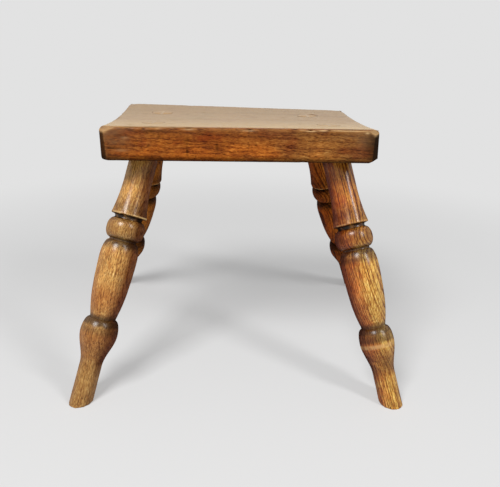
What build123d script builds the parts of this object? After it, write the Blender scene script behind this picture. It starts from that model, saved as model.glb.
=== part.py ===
from build123d import *

import os
from math import hypot
from typing import NamedTuple

# A country stool, in millimetres: a thick seat board, hollowed a little from front to back, stands on four
# splayed turned legs. Each leg ends in a round tenon that passes through the seat and is spread by a wedge.
# The origin is on the floor, midway between the feet. +Z is up, +X is to the right and -Y is the front.

# ---- Seat board ----
SEAT_WIDTH = 353.0  # along the front edge
SEAT_DEPTH = 250.0
SEAT_THICKNESS = 42.5  # at the front edge
SEAT_HEIGHT = 352.0  # top of the front edge above the floor
LEFT_HOLLOW = 6.5  # how far the left end of the top dips midway between the front and back edges
RIGHT_HOLLOW = 3.8  # the same for the right end
BACK_LEFT_RISE = 5.0  # the old board has moved: its back left corner has come up
BACK_RIGHT_DROP = 1.2  # and its back right corner has gone down
LEFT_END_SKEW = 8.0  # the left end was sawn out of square: its back lies this much to the left of its front
RIGHT_END_SKEW = 4.5  # the same for the right end
CORNER_RADIUS = 7.0
TOP_ARRIS_RADIUS = 4.0
BOTTOM_ARRIS_RADIUS = 4.0

# ---- Sockets and splay, on the underside of the seat ----
FRONT_END_INSET = 47.0  # from the end of the seat to the axis of a front leg
BACK_END_INSET = 50.5  # the same for a back leg
EDGE_INSET = 55.0  # from the front or back edge of the seat to a leg's axis
FRONT_PAIR_SHIFT = 1.5  # the front pair of sockets was bored this much to the right of its place
BACK_PAIR_SHIFT = -7.0  # and the back pair this much to the left
FOOT_RUN_OUT = 126.5  # how far each foot stands out, to the front or the back, from its socket
FRONT_FOOT_RUN = 77.5  # how far each front foot stands out sideways from its socket's place
BACK_FOOT_RUN = 106.0  # the same for a back foot

# ---- Turned pattern: radius of each feature ----
TOP_RADIUS = 19.0
SHOULDER_RADIUS = 24.0
GROOVE_RADIUS = 18.5
BEAD_RADIUS = 25.8
UPPER_NECK_RADIUS = 18.2
VASE_RADIUS = 25.4
VASE_WAIST_RADIUS = 23.2
LOWER_NECK_RADIUS = 17.2
BULB_RADIUS = 24.5
ANKLE_RADIUS = 14.8
FOOT_RADIUS = 15.4
SHOULDER_ARRIS_RADIUS = 1.2
FOOT_ARRIS_RADIUS = 1.5

# ---- Turned pattern: length of each stretch, down the leg ----
FLARE_LENGTH = 50.0  # the lower end of the plain taper, where it flares out to the shoulder
SHOULDER_LENGTH = 2.0
SHOULDER_UNDERCUT = 1.5
GROOVE_LENGTH = 3.0
BEAD_LENGTH = 28.5
UPPER_NECK_LENGTH = 2.0
VASE_SWELL_LENGTH = 24.0  # from the upper neck to the widest part of the vase
VASE_WAIST_LENGTH = 46.0  # from there to where the vase draws in
VASE_TAPER_LENGTH = 34.0  # from there to the lower neck
LOWER_NECK_LENGTH = 2.0
BULB_SWELL_LENGTH = 20.0  # from the lower neck to the widest part of the bulb
BULB_TAPER_LENGTH = 42.0  # from there to the ankle
FOOT_ALLOWANCE = 40.0  # extra length, sawn off level with the floor

# ---- Length of the plain taper of each leg, from the underside of the seat to the shoulder ----
FRONT_LEFT_PLAIN = 87.5
FRONT_RIGHT_PLAIN = 95.5
BACK_LEFT_PLAIN = 79.5
BACK_RIGHT_PLAIN = 84.5

# ---- Tenons and wedges ----
TENON_RADIUS = 15.0
TENON_CLEARANCE = 0.1  # between the tenon and the wall of its bore
TENON_OVERLENGTH = 30.0  # sawn off level with the top of the seat
WEDGE_DEPTH = 30.0  # down the tenon from its top
WEDGE_TOP_THICKNESS = 4.0
WEDGE_TIP_THICKNESS = 1.0
WEDGE_CLEARANCE = 0.05
KERF_RUN_ON = 1.5  # the saw cut goes this much deeper than the tip of the wedge

NEAR = 0.01  # how close a point lies to a plane or a line that it is on

UNDERSIDE = SEAT_HEIGHT - SEAT_THICKNESS


class Pair(NamedTuple):
    """What the two front legs share, and the two back legs: end is -1 at the front and 1 at the back."""

    end: int
    end_inset: float
    shift: float
    foot_run: float


class LegSetting(NamedTuple):
    """One leg: its pair, its side, which is -1 left or 1 right, and the length of its plain taper."""

    pair: Pair
    side: int
    plain_length: float


FRONT_PAIR = Pair(-1, FRONT_END_INSET, FRONT_PAIR_SHIFT, FRONT_FOOT_RUN)
BACK_PAIR = Pair(1, BACK_END_INSET, BACK_PAIR_SHIFT, BACK_FOOT_RUN)
LEG_SETTINGS = {
    "front_left": LegSetting(FRONT_PAIR, -1, FRONT_LEFT_PLAIN),
    "front_right": LegSetting(FRONT_PAIR, 1, FRONT_RIGHT_PLAIN),
    "back_left": LegSetting(BACK_PAIR, -1, BACK_LEFT_PLAIN),
    "back_right": LegSetting(BACK_PAIR, 1, BACK_RIGHT_PLAIN),
}


def end_outline(front_x, skew, back_rise, hollow):
    """Outline of one end of the board, from its front corner at front_x.

    Its back lies skew to the left of its front and stands back_rise higher. Its top dips by hollow between.
    """
    end_plane = Plane(
        origin=(front_x, -SEAT_DEPTH / 2, 0),
        x_dir=(-skew, SEAT_DEPTH, 0),
        z_dir=(SEAT_DEPTH, skew, 0),
    )
    back = hypot(SEAT_DEPTH, skew)
    back_height = SEAT_HEIGHT + back_rise
    middle_height = (SEAT_HEIGHT + back_height) / 2 - hollow
    with BuildSketch(end_plane) as outline:
        with BuildLine():
            Line((0, UNDERSIDE), (0, SEAT_HEIGHT))
            ThreePointArc((0, SEAT_HEIGHT), (back / 2, middle_height), (back, back_height))
            Line((back, back_height), (back, UNDERSIDE))
            Line((back, UNDERSIDE), (0, UNDERSIDE))
        make_face()
    return outline.sketch.face().outer_wire()


def make_board():
    """The seat board with sharp corners and no bores."""
    left_end = end_outline(-SEAT_WIDTH / 2, LEFT_END_SKEW, BACK_LEFT_RISE, LEFT_HOLLOW)
    right_end = end_outline(SEAT_WIDTH / 2, RIGHT_END_SKEW, -BACK_RIGHT_DROP, RIGHT_HOLLOW)
    return Solid.make_loft([left_end, right_end], ruled=True)


def round_board(board):
    """Rounds the upright corners of the board, then its top and bottom arrises."""
    board = board.fillet(CORNER_RADIUS, board.edges().filter_by(Axis.Z))
    middle = UNDERSIDE + SEAT_THICKNESS / 2
    top_edges = [edge for edge in board.edges() if edge.bounding_box().min.Z > middle]
    board = board.fillet(TOP_ARRIS_RADIUS, top_edges)
    bottom_edges = [edge for edge in board.edges() if edge.bounding_box().max.Z < middle]
    return board.fillet(BOTTOM_ARRIS_RADIUS, bottom_edges)


def make_turning(plain_length, leg_length):
    """The turned leg below its tenon, about the Z axis, with z = 0 where its axis meets the seat."""
    top = TOP_RADIUS
    shoulder = -plain_length
    undercut = shoulder - SHOULDER_LENGTH
    groove = undercut - SHOULDER_UNDERCUT
    bead_top = groove - GROOVE_LENGTH
    bead_end = bead_top - BEAD_LENGTH
    vase_top = bead_end - UPPER_NECK_LENGTH
    vase_widest = vase_top - VASE_SWELL_LENGTH
    vase_waist = vase_widest - VASE_WAIST_LENGTH
    vase_end = vase_waist - VASE_TAPER_LENGTH
    bulb_top = vase_end - LOWER_NECK_LENGTH
    bulb_widest = bulb_top - BULB_SWELL_LENGTH
    ankle = bulb_widest - BULB_TAPER_LENGTH
    end = min(-leg_length, ankle) - FOOT_ALLOWANCE
    down = (0, -1)
    with BuildSketch(Plane.XZ) as outline:
        with BuildLine():
            Polyline((0, end), (0, top), (TOP_RADIUS, top), (TOP_RADIUS, shoulder + FLARE_LENGTH))
            TangentArc((TOP_RADIUS, shoulder + FLARE_LENGTH), (SHOULDER_RADIUS, shoulder), tangent=down)
            Polyline(
                (SHOULDER_RADIUS, shoulder),
                (SHOULDER_RADIUS, undercut),
                (GROOVE_RADIUS, groove),
                (GROOVE_RADIUS, bead_top),
            )
            ThreePointArc(
                (GROOVE_RADIUS, bead_top),
                (BEAD_RADIUS, (bead_top + bead_end) / 2),
                (UPPER_NECK_RADIUS, bead_end),
            )
            Line((UPPER_NECK_RADIUS, bead_end), (UPPER_NECK_RADIUS, vase_top))
            EllipticalCenterArc(
                (UPPER_NECK_RADIUS, vase_widest),
                VASE_RADIUS - UPPER_NECK_RADIUS,
                VASE_SWELL_LENGTH,
                start_angle=0,
                arc_size=90,
            )
            Spline(
                (VASE_RADIUS, vase_widest),
                (VASE_WAIST_RADIUS, vase_waist),
                (LOWER_NECK_RADIUS, vase_end),
                tangents=[down, (VASE_WAIST_RADIUS - LOWER_NECK_RADIUS, -VASE_TAPER_LENGTH)],
            )
            Line((LOWER_NECK_RADIUS, vase_end), (LOWER_NECK_RADIUS, bulb_top))
            EllipticalCenterArc(
                (LOWER_NECK_RADIUS, bulb_widest),
                BULB_RADIUS - LOWER_NECK_RADIUS,
                BULB_SWELL_LENGTH,
                start_angle=0,
                arc_size=90,
            )
            Spline((BULB_RADIUS, bulb_widest), (ANKLE_RADIUS, ankle), tangents=[down, down])
            Polyline((ANKLE_RADIUS, ankle), (FOOT_RADIUS, end), (0, end))
        make_face()
        shoulder_arris = [
            vertex
            for vertex in outline.vertices()
            if abs(vertex.X - SHOULDER_RADIUS) < NEAR and abs(vertex.Y - undercut) < NEAR
        ]
        fillet(shoulder_arris, SHOULDER_ARRIS_RADIUS)
    return revolve(outline.sketch, Axis.Z).solid()


def place_leg(setting):
    """The plane of a leg, its Z up the leg from the foot and its X across the wedge, and the leg's length."""
    pair = setting.pair
    from_middle = SEAT_WIDTH / 2 - pair.end_inset
    from_centre_line = SEAT_DEPTH / 2 - EDGE_INSET
    socket = Vector(setting.side * from_middle + pair.shift, pair.end * from_centre_line, UNDERSIDE)
    foot_x = setting.side * (from_middle + pair.foot_run)
    foot_y = pair.end * (from_centre_line + FOOT_RUN_OUT)
    up = socket - Vector(foot_x, foot_y, 0)
    across = Vector(0, 1, 0).cross(up)
    return Plane(origin=socket, x_dir=across, z_dir=up), up.length


def make_rod(plane, radius):
    """A round rod about a leg's axis, longer than the way through the seat."""
    way_through = SEAT_THICKNESS / plane.z_dir.Z
    return plane.location * Cylinder(radius, 2 * (way_through + TENON_OVERLENGTH))


def make_blade(plane, clearance, run_on):
    """A blade across a tenon that widens upwards: the wedge before it is cut to length, or its saw kerf."""
    crown = SEAT_THICKNESS / plane.z_dir.Z
    tip = crown - WEDGE_DEPTH
    top = crown + TENON_OVERLENGTH
    tip_half = WEDGE_TIP_THICKNESS / 2 + clearance
    spread = (WEDGE_TOP_THICKNESS - WEDGE_TIP_THICKNESS) / 2 / WEDGE_DEPTH
    top_half = tip_half + spread * (top - tip)
    with BuildSketch(Plane.XZ) as outline:
        Polygon(
            (-tip_half, tip - run_on),
            (tip_half, tip - run_on),
            (tip_half, tip),
            (top_half, top),
            (-top_half, top),
            (-tip_half, tip),
            align=None,
        )
    return plane.location * extrude(outline.sketch, 2 * TENON_RADIUS, both=True)


def make_leg(setting, board):
    """One leg: its turning is scribed to the seat and the floor, its tenon sawn level with the seat."""
    plane, leg_length = place_leg(setting)
    turning = plane.location * make_turning(setting.plain_length, leg_length)
    below_seat = Pos(0, 0, UNDERSIDE / 2) * Box(4 * SEAT_WIDTH, 4 * SEAT_DEPTH, UNDERSIDE)
    tenon = make_rod(plane, TENON_RADIUS) & board
    kerf = make_blade(plane, WEDGE_CLEARANCE, KERF_RUN_ON)
    leg = ((turning & below_seat) + tenon - kerf).solid()
    return leg.fillet(FOOT_ARRIS_RADIUS, leg.edges().filter_by_position(Axis.Z, -NEAR, NEAR))


def make_wedge(setting, board):
    """The wedge of one tenon, as wide as the tenon and sawn level with the seat."""
    plane, _ = place_leg(setting)
    return (make_blade(plane, 0, 0) & make_rod(plane, TENON_RADIUS) & board).solid()


def make_seat(board):
    """The seat with its arrises rounded and a bore for each tenon."""
    seat = round_board(board)
    for setting in LEG_SETTINGS.values():
        plane, _ = place_leg(setting)
        seat = seat - make_rod(plane, TENON_RADIUS + TENON_CLEARANCE)
    return seat.solid()


os.makedirs("parts", exist_ok=True)
seat_board = make_board()
export_step(make_seat(seat_board), "parts/seat_slab.step")
for place_name, leg_setting in LEG_SETTINGS.items():
    export_step(make_leg(leg_setting, seat_board), f"parts/leg_{place_name}.step")
    export_step(make_wedge(leg_setting, seat_board), f"parts/wedge_{place_name}.step")
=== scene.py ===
"""A low country stool: a thick hollowed plank seat on four splayed turned legs, each held by a wedged tenon.

Sizes are in metres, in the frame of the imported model: +Z is up, +X is to the right and -Y is the front.
"""
from __future__ import annotations

import logging
import math
import random
from contextlib import contextmanager
from dataclasses import dataclass, field, replace
from enum import Enum
from typing import Any, Callable, Iterator

import bmesh
import bpy
import numpy as np
from mathutils import Euler, Matrix, Vector


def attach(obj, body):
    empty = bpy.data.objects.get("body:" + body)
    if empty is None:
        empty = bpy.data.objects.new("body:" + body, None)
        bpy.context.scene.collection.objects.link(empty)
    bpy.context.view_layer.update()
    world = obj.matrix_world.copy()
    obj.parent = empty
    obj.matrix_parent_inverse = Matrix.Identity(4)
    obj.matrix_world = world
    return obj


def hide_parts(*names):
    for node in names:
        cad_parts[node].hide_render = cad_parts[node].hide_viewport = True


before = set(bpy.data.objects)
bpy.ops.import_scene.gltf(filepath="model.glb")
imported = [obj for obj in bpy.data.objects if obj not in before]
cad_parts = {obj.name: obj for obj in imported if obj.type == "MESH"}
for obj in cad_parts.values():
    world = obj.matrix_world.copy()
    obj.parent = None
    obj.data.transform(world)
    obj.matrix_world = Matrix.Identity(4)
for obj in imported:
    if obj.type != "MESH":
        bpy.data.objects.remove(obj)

BODY = "root"
IMAGE_WIDTH = 500
MM = 0.001
FULL_TURN = 2 * math.pi
ORIGIN = Vector((0, 0, 0))
RIGHTWARDS = Vector((1, 0, 0))
BACKWARDS = Vector((0, 1, 0))
UPWARDS = Vector((0, 0, 1))
TOUCH = 0.00002  # how close a point lies to a plane that it is on
LEAST_SHARE = 0.001  # the share of a press below which a vertex is left alone
LEVEL = 0.9  # the least upright part of the normal of a face that is taken as level

log = logging.getLogger("stool")

Colour = tuple[float, float, float]
Stops = list[tuple[float, float | Colour]]
Numbers = float | np.ndarray
Weight = Callable[[np.ndarray], np.ndarray]


def linear(share: float) -> float:
    """One part of a colour of the screen, from 0 to 1, as linear light."""
    return share / 12.92 if share <= 0.04045 else ((share + 0.055) / 1.055) ** 2.4


def colour(red: int, green: int, blue: int) -> Colour:
    """A colour of the screen, its parts from 0 to 255, as linear light."""
    return linear(red / 255), linear(green / 255), linear(blue / 255)


# ---------------------------------------------------------------- bench ----


class Keep(Enum):
    """What a saw cut leaves. The normal of the cut points to its front."""

    BOTH = "both sides"
    BEHIND = "the side behind the cut"
    FRONT = "the side in front of the cut"


class Kind(Enum):
    """What is picked in edit mode."""

    VERTEX = "VERT"
    EDGE = "EDGE"
    FACE = "FACE"


class Way(Enum):
    """The way that a press goes."""

    INWARDS = "NORMAL"
    DOWN = "Z"


class Bench:
    """One piece on the bench: it is opened for shaping, picked over by place, cut, worn and marked."""

    def __init__(self, piece: bpy.types.Object) -> None:
        """Takes a piece onto the bench."""
        self.piece = piece

    @classmethod
    def active(cls, name: str) -> Bench:
        """The piece that an operator has just made, under its own name.

        Args:
            name: the name of the piece and of its mesh.

        Returns:
            The bench that holds it.
        """
        piece = bpy.context.view_layer.objects.active
        piece.name = name
        piece.data.name = name
        return cls(piece)

    @staticmethod
    def clear() -> None:
        """Deselects every object."""
        bpy.ops.object.select_all(action="DESELECT")

    def hold(self) -> None:
        """Selects this piece alone and makes it active."""
        self.clear()
        self.piece.select_set(True)
        bpy.context.view_layer.objects.active = self.piece

    @contextmanager
    def opened(self, kind: Kind = Kind.VERTEX) -> Iterator[None]:
        """Edit mode on this piece, with nothing selected.

        Args:
            kind: what is to be picked.

        Yields:
            Nothing. The piece is open until the block ends.
        """
        self.hold()
        bpy.ops.object.mode_set(mode="EDIT")
        bpy.ops.mesh.select_mode(type=kind.value)
        bpy.ops.mesh.select_all(action="DESELECT")
        yield
        bpy.ops.object.mode_set(mode="OBJECT")

    def pick_vertices(self, test: Callable[[Vector], bool]) -> None:
        """Selects the vertices whose place passes the test, in edit mode."""
        self._pick("verts", lambda vertex: test(vertex.co))

    def pick_edges(self, test: Callable[[Vector, Vector], bool]) -> None:
        """Selects the edges whose two ends pass the test, in edit mode."""
        self._pick("edges", lambda edge: test(edge.verts[0].co, edge.verts[1].co))

    def pick_faces(self, test: Callable[[Vector, Vector], bool]) -> None:
        """Selects the faces whose middle and normal pass the test, in edit mode."""
        self._pick("faces", lambda face: test(face.calc_center_median(), face.normal))

    def _pick(self, members: str, test: Callable[[Any], bool]) -> None:
        """Selects what passes the test, and nothing else.

        Args:
            members: the mesh's own name for them, verts, edges or faces.
            test: what each of them is put to.
        """
        bpy.ops.mesh.select_all(action="DESELECT")
        mesh = bmesh.from_edit_mesh(self.piece.data)
        for element in getattr(mesh, members):
            if test(element):
                element.select_set(True)
        mesh.select_flush_mode()
        bmesh.update_edit_mesh(self.piece.data)

    def saw(self, point: Vector, normal: Vector, keep: Keep = Keep.BOTH) -> None:
        """Cuts the whole piece along a plane, in edit mode.

        Args:
            point: a point of the cut.
            normal: the normal of the cut.
            keep: what is left; unless both sides are, the cut is closed by a face.
        """
        bpy.ops.mesh.select_all(action="SELECT")
        bpy.ops.mesh.bisect(
            plane_co=point,
            plane_no=normal,
            use_fill=keep is not Keep.BOTH,
            clear_inner=keep is Keep.FRONT,
            clear_outer=keep is Keep.BEHIND,
        )

    def places(self) -> np.ndarray:
        """The places of all vertices.

        Returns:
            One row for each vertex.
        """
        rows = np.zeros(len(self.piece.data.vertices) * 3)
        self.piece.data.vertices.foreach_get("co", rows)
        return rows.reshape(-1, 3)

    def press(self, depth: float, weight: Weight, way: Way = Way.INWARDS, mottle: float = 0.0) -> None:
        """Presses the surface in, as wear, shrinkage or a knock does.

        Args:
            depth: how deep it goes where the weight is 1.
            weight: the share of the depth at each place, 0 to 1.
            way: into the surface, or straight down.
            mottle: the size of the patches of an uneven press, or 0 for an even one.
        """
        group = self.piece.vertex_groups.new(name="press")
        for index, share in enumerate(np.clip(weight(self.places()), 0, 1)):
            if share > LEAST_SHARE:
                group.add([index], float(share), "REPLACE")
        self.hold()
        modifier = self.piece.modifiers.new("press", "DISPLACE")
        modifier.vertex_group = group.name
        modifier.direction = way.value
        modifier.mid_level = 0
        modifier.strength = -depth
        if mottle:
            modifier.texture = bpy.data.textures.new("mottle", "CLOUDS")
            modifier.texture.noise_scale = mottle
            modifier.texture_coords = "LOCAL"
        bpy.ops.object.modifier_apply(modifier=modifier.name)
        self.piece.vertex_groups.clear()

    def cut_out(self, cutter: Bench) -> None:
        """Cuts another piece's shape out of this one, and throws the cutter away.

        Args:
            cutter: the other piece.
        """
        self.hold()
        modifier = self.piece.modifiers.new("cutter", "BOOLEAN")
        modifier.object = cutter.piece
        modifier.operation = "DIFFERENCE"
        modifier.solver = "MANIFOLD"
        bpy.ops.object.modifier_apply(modifier=modifier.name)
        bpy.data.objects.remove(cutter.piece)

    def copy(self, name: str) -> Bench:
        """A second piece of the same shape, with a mesh of its own.

        Args:
            name: the name of the copy.

        Returns:
            The bench that holds the copy.
        """
        self.hold()
        bpy.ops.object.duplicate(linked=False)
        return Bench.active(name)

    def settle(self, place: Matrix | None = None) -> None:
        """Moves the mesh to a place, and leaves the object itself at the origin.

        Args:
            place: where the piece goes, or None for where it was made.
        """
        self.piece.matrix_world = self.piece.matrix_world.copy() if place is None else place
        self.hold()
        bpy.ops.object.transform_apply(location=True, rotation=True, scale=True)

    def mark(self, name: str, weight: Weight) -> None:
        """Keeps a value for each vertex under a name that a finish reads."""
        values = np.clip(weight(self.places()), 0, 1).astype(np.float32)
        self.piece.data.attributes.new(name, "FLOAT", "POINT").data.foreach_set("value", values)

    def smooth(self, degrees: float) -> None:
        """Shades the piece smooth, except where its faces meet at a sharper angle."""
        self.hold()
        bpy.ops.object.shade_smooth_by_angle(angle=math.radians(degrees))

    def hand_over(self, finish: bpy.types.Material, slot: Slot, *nodes: str) -> None:
        """Dresses the finished piece and sets it in the frame.

        Args:
            finish: its material.
            slot: the slot of the record that the finish belongs to; not used.
            nodes: the nodes of the frame that the piece stands for.
        """
        self.piece.data.materials.clear()
        self.piece.data.materials.append(finish)
        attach(self.piece, BODY)
        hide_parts(*nodes)
        log.info("%s: %d vertices", self.piece.name, len(self.piece.data.vertices))


def bell(distance: np.ndarray, reach: float) -> np.ndarray:
    """A weight of 1 at no distance that dies away over the reach."""
    return np.exp(-((distance / reach) ** 2))


def everywhere(places: np.ndarray) -> np.ndarray:
    """A weight of 1 at every place."""
    return np.ones(len(places))


# ------------------------------------------------------------- finishes ----


class Slot(Enum):
    """The material slots of the record."""

    SEAT = "seat_elm"
    LEG = "leg_ash"


class Value:
    """A number that varies over a surface. Arithmetic on it adds Math nodes."""

    def __init__(self, tree: Tree, socket: bpy.types.NodeSocket) -> None:
        """Wraps an output of a node of the tree."""
        self.tree = tree
        self.socket = socket

    def __add__(self, other: Number) -> Value:
        """The sum."""
        return self.tree.maths("ADD", self, other)

    def __radd__(self, other: Number) -> Value:
        """The sum, with a plain number first."""
        return self.tree.maths("ADD", other, self)

    def __sub__(self, other: Number) -> Value:
        """The difference."""
        return self.tree.maths("SUBTRACT", self, other)

    def __rsub__(self, other: Number) -> Value:
        """The difference, from a plain number."""
        return self.tree.maths("SUBTRACT", other, self)

    def __mul__(self, other: Number) -> Value:
        """The product."""
        return self.tree.maths("MULTIPLY", self, other)

    def __rmul__(self, other: Number) -> Value:
        """The product, with a plain number first."""
        return self.tree.maths("MULTIPLY", other, self)

    def __truediv__(self, other: Number) -> Value:
        """The quotient."""
        return self.tree.maths("DIVIDE", self, other)

    def __pow__(self, other: Number) -> Value:
        """The power."""
        return self.tree.maths("POWER", self, other)

    def __mod__(self, other: Number) -> Value:
        """What is left over by whole steps, never below 0."""
        return self.tree.maths("FLOORED_MODULO", self, other)

    def __abs__(self) -> Value:
        """The size without its sign."""
        return self.tree.maths("ABSOLUTE", self)


Number = Value | float


class Tree:
    """The node tree of one material or of the world."""

    def __init__(self, owner: bpy.types.Material | bpy.types.World) -> None:
        """Empties the owner's node tree.

        Args:
            owner: the material or the world.
        """
        owner.use_nodes = True
        self.tree = owner.node_tree
        self.tree.nodes.clear()

    def node(
        self,
        kind: str,
        settings: dict[str, Any],
        inputs: dict[str | int, Any],
        output: str | int = 0,
    ) -> Value:
        """Adds a node.

        Args:
            kind: its type, without the word ShaderNode.
            settings: its own settings, and stops for a ramp, as pairs of a place and a colour or a grey.
            inputs: values or links, by the name or the number of the socket.
            output: the name or the number of the output that is wanted.

        Returns:
            That output.
        """
        node = self.tree.nodes.new("ShaderNode" + kind)
        for name, setting in settings.items():
            if name == "stops":
                self._set_stops(node.color_ramp, setting)
            else:
                setattr(node, name, setting)
        for name, given in inputs.items():
            socket = node.inputs[name]
            if isinstance(given, Value):
                self.tree.links.new(given.socket, socket)
            else:
                socket.default_value = given
        return Value(self, node.outputs[output])

    @staticmethod
    def _set_stops(ramp: bpy.types.ColorRamp, stops: Stops) -> None:
        """Gives a ramp its stops.

        Args:
            ramp: the ramp of a new node, which has two stops.
            stops: its stops, in order from 0 to 1.
        """
        while len(ramp.elements) < len(stops):
            ramp.elements.new(1.0)
        for element, (place, shade) in zip(ramp.elements, stops):
            element.position = place
            element.color = (*shade, 1) if isinstance(shade, tuple) else (shade, shade, shade, 1)

    def maths(self, operation: str, *numbers: Number) -> Value:
        """Adds a Math node for one or more numbers."""
        return self.node("Math", {"operation": operation}, dict(enumerate(numbers)))

    def most(self, first: Value, *others: Number) -> Value:
        """The greatest of some numbers.

        Args:
            first: one of them.
            others: the rest.

        Returns:
            The greatest at each point.
        """
        for other in others:
            first = self.maths("MAXIMUM", first, other)
        return first

    def ramp(self, value: Value, stops: Stops) -> Value:
        """The colour or the grey that a ramp gives for a value from 0 to 1."""
        return self.node("ValToRGB", {"stops": stops}, {"Fac": value})

    def between(self, value: Value, low: float, high: float) -> Value:
        """How far a value has come from low to high, eased at both ends and kept within 0 and 1."""
        settings = {"interpolation_type": "SMOOTHSTEP"}
        return self.node("MapRange", settings, {"Value": value, "From Min": low, "From Max": high})

    def cover(self, share: Value, shade: Value, over: Colour) -> Value:
        """A shade under another colour, which hides it where the share is 1."""
        return self._mix("MIX", share, shade, over)

    def tint(self, share: Value, shade: Value, by: Colour) -> Value:
        """A shade multiplied by a colour where the share is 1, and left alone where it is 0."""
        return self._mix("MULTIPLY", share, shade, by)

    def _mix(self, kind: str, share: Value, shade: Value, other: Colour) -> Value:
        """Adds a Mix node for colours, whose sockets go by number because several share a name.

        Args:
            kind: how it mixes.
            share: how much of the other colour goes in.
            shade: the first colour.
            other: the other colour.

        Returns:
            The colour.
        """
        factor, first, second, result = 0, 6, 7, 2
        settings = {"data_type": "RGBA", "blend_type": kind, "clamp_factor": True}
        return self.node("Mix", settings, {factor: share, first: shade, second: (*other, 1)}, result)

    def noise(self, place: Value, size: Vector, detail: float, roughness: float = 0.5) -> Value:
        """Soft noise around a half, in patches of a size.

        Args:
            place: where it is read.
            size: the size of the patches along each axis.
            detail: how many finer layers it has.
            roughness: how strong they are.

        Returns:
            The noise, mostly from 0.3 to 0.7.
        """
        scale = Vector(1 / part for part in size)
        stretched = self.node("Mapping", {}, {"Vector": place, "Scale": scale})
        inputs = {"Vector": stretched, "Scale": 1.0, "Detail": detail, "Roughness": roughness}
        return self.node("TexNoise", {}, inputs)

    def parts(self, vector: Value) -> tuple[Value, Value, Value]:
        """The X, Y and Z of a vector."""
        return tuple(self.node("SeparateXYZ", {}, {"Vector": vector}, axis) for axis in "XYZ")

    def mark(self, name: str) -> Value:
        """The value that each vertex keeps under a name."""
        return self.node("Attribute", {"attribute_name": name}, {}, "Fac")

    def end(self, shader: Value, kind: str = "Material") -> None:
        """Ends the tree with its output node, of the kind Material or World."""
        output = self.tree.nodes.new("ShaderNodeOutput" + kind)
        self.tree.links.new(shader.socket, output.inputs["Surface"])


@dataclass(frozen=True)
class Figure:
    """How a piece of timber grew, and how it lay in the tree. The grain runs along its own Z axis."""

    pith: tuple[float, float]  # where the middle of the tree lies, across the grain
    lean: tuple[float, float]  # how much the pith leaves the piece's axis, for each metre along it
    ring: float  # how wide a year's growth is
    ring_strength: float
    early: float  # the share of a ring that is open, dark early wood
    wander: float  # how far the rings stray
    wander_size: Vector
    fleck: Vector  # the size of the light and dark flecks
    fleck_strength: float
    cloud: Vector  # the size of the broad light and dark patches
    cloud_strength: float
    streak: Vector  # the size of the long straight streaks
    streak_strength: float
    pore: Vector
    pore_reach: tuple[float, float] = (0.58, 0.68)  # the noise at which a pore begins and at which it is full
    drift_size: float = 3.1  # how much broader the slow drift of the rings is than their wander
    change: float = 0.37  # how quickly the width of the rings changes from year to year
    unevenness: float = 2.4  # by how many years they run ahead or behind for that
    mean_tone: float = 0.60

    @property
    def openness(self) -> Stops:
        """How open the wood is through a year: at once in spring, and close again after the early wood."""
        return [(0, 0.1), (0.07, 1), (self.early, 0.7), (self.early + 0.22, 0.05), (1, 0.1)]

    @property
    def fibre(self) -> Vector:
        """The size of the fibres, which are thinner than the pores and longer."""
        return Vector((self.pore.x * 0.6, self.pore.y * 0.6, self.pore.z * 1.6))


@dataclass(frozen=True)
class Stain:
    """The colours of stained, waxed and worn wood, from its pores to its best lit grain."""

    pore: Colour
    early: Colour
    middle: Colour
    late: Colour
    bright: Colour
    # the colour of dirt, also laid on as painted shade
    dirt_and_shade: Colour
    worn: Colour

    @property
    def by_tone(self) -> Stops:
        """The colours by the tone of the grain, from the darkest to the brightest."""
        return [(0, self.pore), (0.22, self.early), (0.45, self.middle), (0.70, self.late), (1, self.bright)]


@dataclass(frozen=True)
class Grain:
    """The figure of the wood at each point."""

    tone: Value  # from 0 in the darkest grain to 1 in the brightest
    pores: Value  # 1 in a pore, 0 beside it
    fibre: Value  # around a half


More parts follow.
